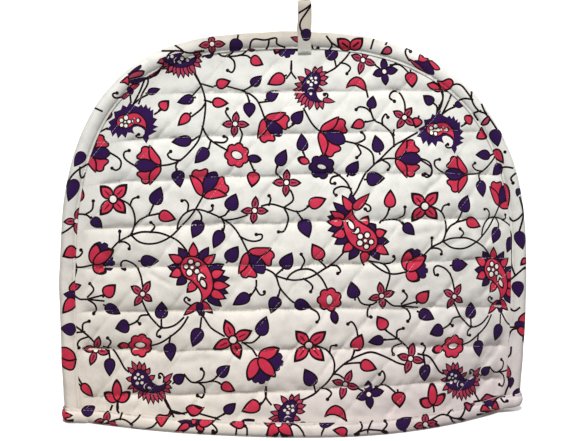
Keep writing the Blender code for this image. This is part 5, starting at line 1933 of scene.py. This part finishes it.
def stitch_piece(name, rows, skin, material):
    """All the stitches of one piece, joined."""
    corners, faces, count = [], [], 0
    every = np.concatenate(rows)
    places = skin(every, 0)
    normals = skin_normals(skin, every, 0, step=1.4)
    normals = normals * (1.0 if np.sum((places - skin(every, 1)) * normals) > 0.0 else -1.0)
    cuts = np.cumsum([len(row) for row in rows])[:-1]
    for row_places, row_normals in zip(np.split(places, cuts), np.split(normals, cuts)):
        made, quads = stitches_along(row_places, row_normals)
        corners.append(made)
        faces.append(quads + count)
        count += len(made)
    mesh = bpy.data.meshes.new(name)
    mesh.from_pydata(np.concatenate(corners).tolist(), [], np.concatenate(faces).tolist())
    mesh.polygons.foreach_set("use_smooth", [True] * len(mesh.polygons))
    mesh.materials.append(material)
    piece = bpy.data.objects.new(name, mesh)
    bpy.context.scene.collection.objects.link(piece)
    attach(piece, "root")
    return piece


cotton = {key: printed_cotton("cotton_" + key, *values) for key, values in INKS.items()}


BESIDE_LEVEL, BESIDE_SLANT = (-3.0, 0.0, 2.6), (-2.4, 0.0, 2.4)  # rows of mesh points on and beside a seam
CREASE_STEP = 3.2
QUILTED_SHARE = 0.962  # the quilting stops short of the panel's edge


def seam_rows(side, offsets_level, offsets_slant, step):
    """Chart points along each quilting seam and beside it, one array for each row."""
    sign_x = 0.0 if side == "front" else BACK_SEAMS_MOVE
    seed = QUILT_SEED[side]
    rows = []
    along = np.arange(20.0, 560.0, step)
    for k, seam in enumerate(LEVEL_SEAMS):
        middle = level_at(seam, along) + wander(along, seed + 20 + k)
        rows += [np.stack((along - sign_x, middle + off), axis=1) for off in offsets_level]
    run = np.arange(-620.0, 560.0, step)
    length = math.hypot(1.0, SLANT)
    for k, place in enumerate(SLANT_SEAMS):
        lean = place + wander(run, seed + 40 + k)
        for off in offsets_slant:
            x = (run + SLANT * (lean + off)) / length
            y = (lean + off - SLANT * run) / length
            rows.append(np.stack((x - sign_x, y), axis=1))
    return rows


def add_panel(side):
    outline = panel_outline(side)
    drawn = front_print() if side == "front" else cloth_print(outline.min(axis=0), outline.max(axis=0))
    creases = np.concatenate(seam_rows(side, BESIDE_LEVEL, BESIDE_SLANT, CREASE_STEP))
    return cloth_piece(side + "_cloth", outline, drawn, lambda chart, layer: panel_skin(side, chart, layer),
                       cotton, extra=creases)


def mapped(drawn, place):
    """A drawing moved by a function of points, all its shapes at once."""
    sizes = np.cumsum([len(polygon) for polygon, _ in drawn])[:-1]
    moved = np.split(place(np.concatenate([polygon for polygon, _ in drawn])), sizes)
    return [(polygon, ink) for polygon, (_, ink) in zip(moved, drawn)]


STRIP_STEPS = (2.1, 3.6)  # mesh steps of the bindings, in chart units


def add_edge():
    length, reach = ARCH_RUN[-1] / UNIT, EDGE_REACH / UNIT
    outline = strip_outline(length, -reach, reach)
    drawn = cloth_print((0.0, -reach), (length, reach), turn=0.42, move=(40.0, 95.0))
    drawn += ground_patch(-5.0, length + 5.0, -reach - 5.0, 1.0)
    seen = under_the_binding() + drawn_from(EDGE_FRONT_PRINT + ACROSS_THE_SEAM)
    drawn += mapped(seen, strip_from_photo(edge_skin, strip_outline(length, -reach, 2.0)))
    return cloth_piece("edge_cloth", outline, drawn, edge_skin, cotton, steps=STRIP_STEPS)


CORNER_GROUND = 8.0  # how far the bare ground runs on round each corner, in chart units
CORNER_FLOWER_AT = (8.0, 11.5)  # the flower that the left corner cuts, on the hem strip's own chart
CORNER_FLOWER = (((15.0, 19.0), 8.0), ((24.0, 12.5), 9.0), ((20.0, 4.5), 8.0))  # tip and width of each petal


def add_hem():
    length, reach = HEM_RUN[-1] / UNIT - 0.25, HEM_REACH / UNIT
    outline = strip_outline(length, -reach, reach)
    drawn = cloth_print((0.0, -reach), (length, reach), turn=0.05, move=(150.0, 60.0))
    front_start = HEM_RUN[NOSE_STATIONS] / UNIT
    front_end = HEM_RUN[NOSE_STATIONS + HEM_STATIONS] / UNIT
    drawn += ground_patch(front_start - CORNER_GROUND, front_end + CORNER_GROUND, -1.0, reach + 5.0)
    for tip, width in CORNER_FLOWER:
        drawn += petal(CORNER_FLOWER_AT, tip, width, "red")
    front = strip_outline(length, -2.0, reach)
    seen = drawn_from(HEM_FRONT_PRINT + ACROSS_THE_SEAM)
    drawn += mapped(seen, strip_from_photo(hem_skin, front[front[:, 0] < front_end + 5.0]))
    return cloth_piece("hem_cloth", outline, drawn, hem_skin, cotton, steps=STRIP_STEPS)


LOOP_FRONT_PRINT = (  # what the photograph shows on the front of the loop, in chart units
    (blob, ((300.5, 33), (303, 29.5), (307, 28.5), (310.5, 30.5), (311, 36), (308.5, 40.5), (303.5, 40.5)),
     "purple", 1.0),
    (vine, (312, 3.5), (306, 8.5), (298.5, 13)),
    (vine, (311.5, 5), (306, 13), (300.8, 21), (300, 27), (302, 32)),
)
LOOP_FRONT_SHARE = 0.45  # how much of the strap, from its front end, the front print lies on


def add_loop():
    length, half = LOOP_LENGTH / UNIT, 0.985 * LOOP_WIDTH / 2.0 / UNIT
    outline = strip_outline(length, -half, half, step=1.5)
    drawn = cloth_print((0.0, -half), (length, half), turn=1.1, move=(30.0, 0.0))
    drawn += ground_patch(-5.0, LOOP_FRONT_SHARE * length, -half - 5.0, half + 5.0)
    front = drawn_from(LOOP_FRONT_PRINT)
    front_outline = strip_outline(LOOP_FRONT_SHARE * length, -half, half)
    drawn += mapped(front, strip_from_photo(loop_skin, front_outline))
    inks = dict(cotton, inside=cotton["ground"])
    return cloth_piece("loop_cloth", outline, drawn, loop_skin, inks, steps=(1.5, 1.9))


def add_panel_stitches(side):
    outline = panel_outline(side)
    middle = outline.mean(axis=0)
    clear = middle + (outline - middle) * QUILTED_SHARE
    rows = [run for row in seam_rows(side, (0.0,), (0.0,), 0.8) for run in seam_runs(row, clear)]
    return stitch_piece(side + "_quilting", rows, lambda chart, layer: panel_skin(side, chart, layer),
                        thread)


def add_edge_stitches():
    run = np.arange(8.0, ARCH_RUN[-1] / UNIT - 8.0, 0.9)
    at = (EDGE_ROUND_RUN + STITCH_IN - EDGE_ROUND) / UNIT
    rows = [np.stack((run, np.full_like(run, at * turn)), axis=1) for turn in (-1.0, 1.0)]
    return stitch_piece("edge_stitching", rows, edge_skin, thread)


def add_hem_stitches():
    run = np.arange(2.0, HEM_RUN[-1] / UNIT - 3.0, 0.9)
    at = (HEM_ROUND_RUN + HEM_STITCH_UP - HEM_ROUND) / UNIT
    rows = [np.stack((run, np.full_like(run, at * turn)), axis=1) for turn in (-1.0, 1.0)]
    return stitch_piece("hem_stitching", rows, hem_skin, thread)


def add_loop_stitches():
    """Rows across the strap where it is sewn to the binding, front and back."""
    length, half = LOOP_LENGTH / UNIT, 0.86 * LOOP_WIDTH / 2.0 / UNIT
    t = np.arange(-half, half + 0.1, 0.5)
    at = [row / UNIT for row in LOOP_ROWS] + [length - row / UNIT for row in LOOP_ROWS]
    rows = [np.stack((np.full_like(t, run), t), axis=1) for run in at]
    return stitch_piece("loop_stitching", rows, loop_skin, thread)


thread = sewing_thread()
panels = {side: add_panel(side) for side in ("front", "back")}
for side, panel in panels.items():
    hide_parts(side + "_panel")
    add_panel_stitches(side)
edge, hem, loop = add_edge(), add_hem(), add_loop()
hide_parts("edge_binding")
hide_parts("hem_binding")
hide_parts("top_loop")
add_edge_stitches()
add_hem_stitches()
add_loop_stitches()

bpy.context.scene.view_settings.view_transform = "Standard"
add_floor()
add_light()
add_camera()
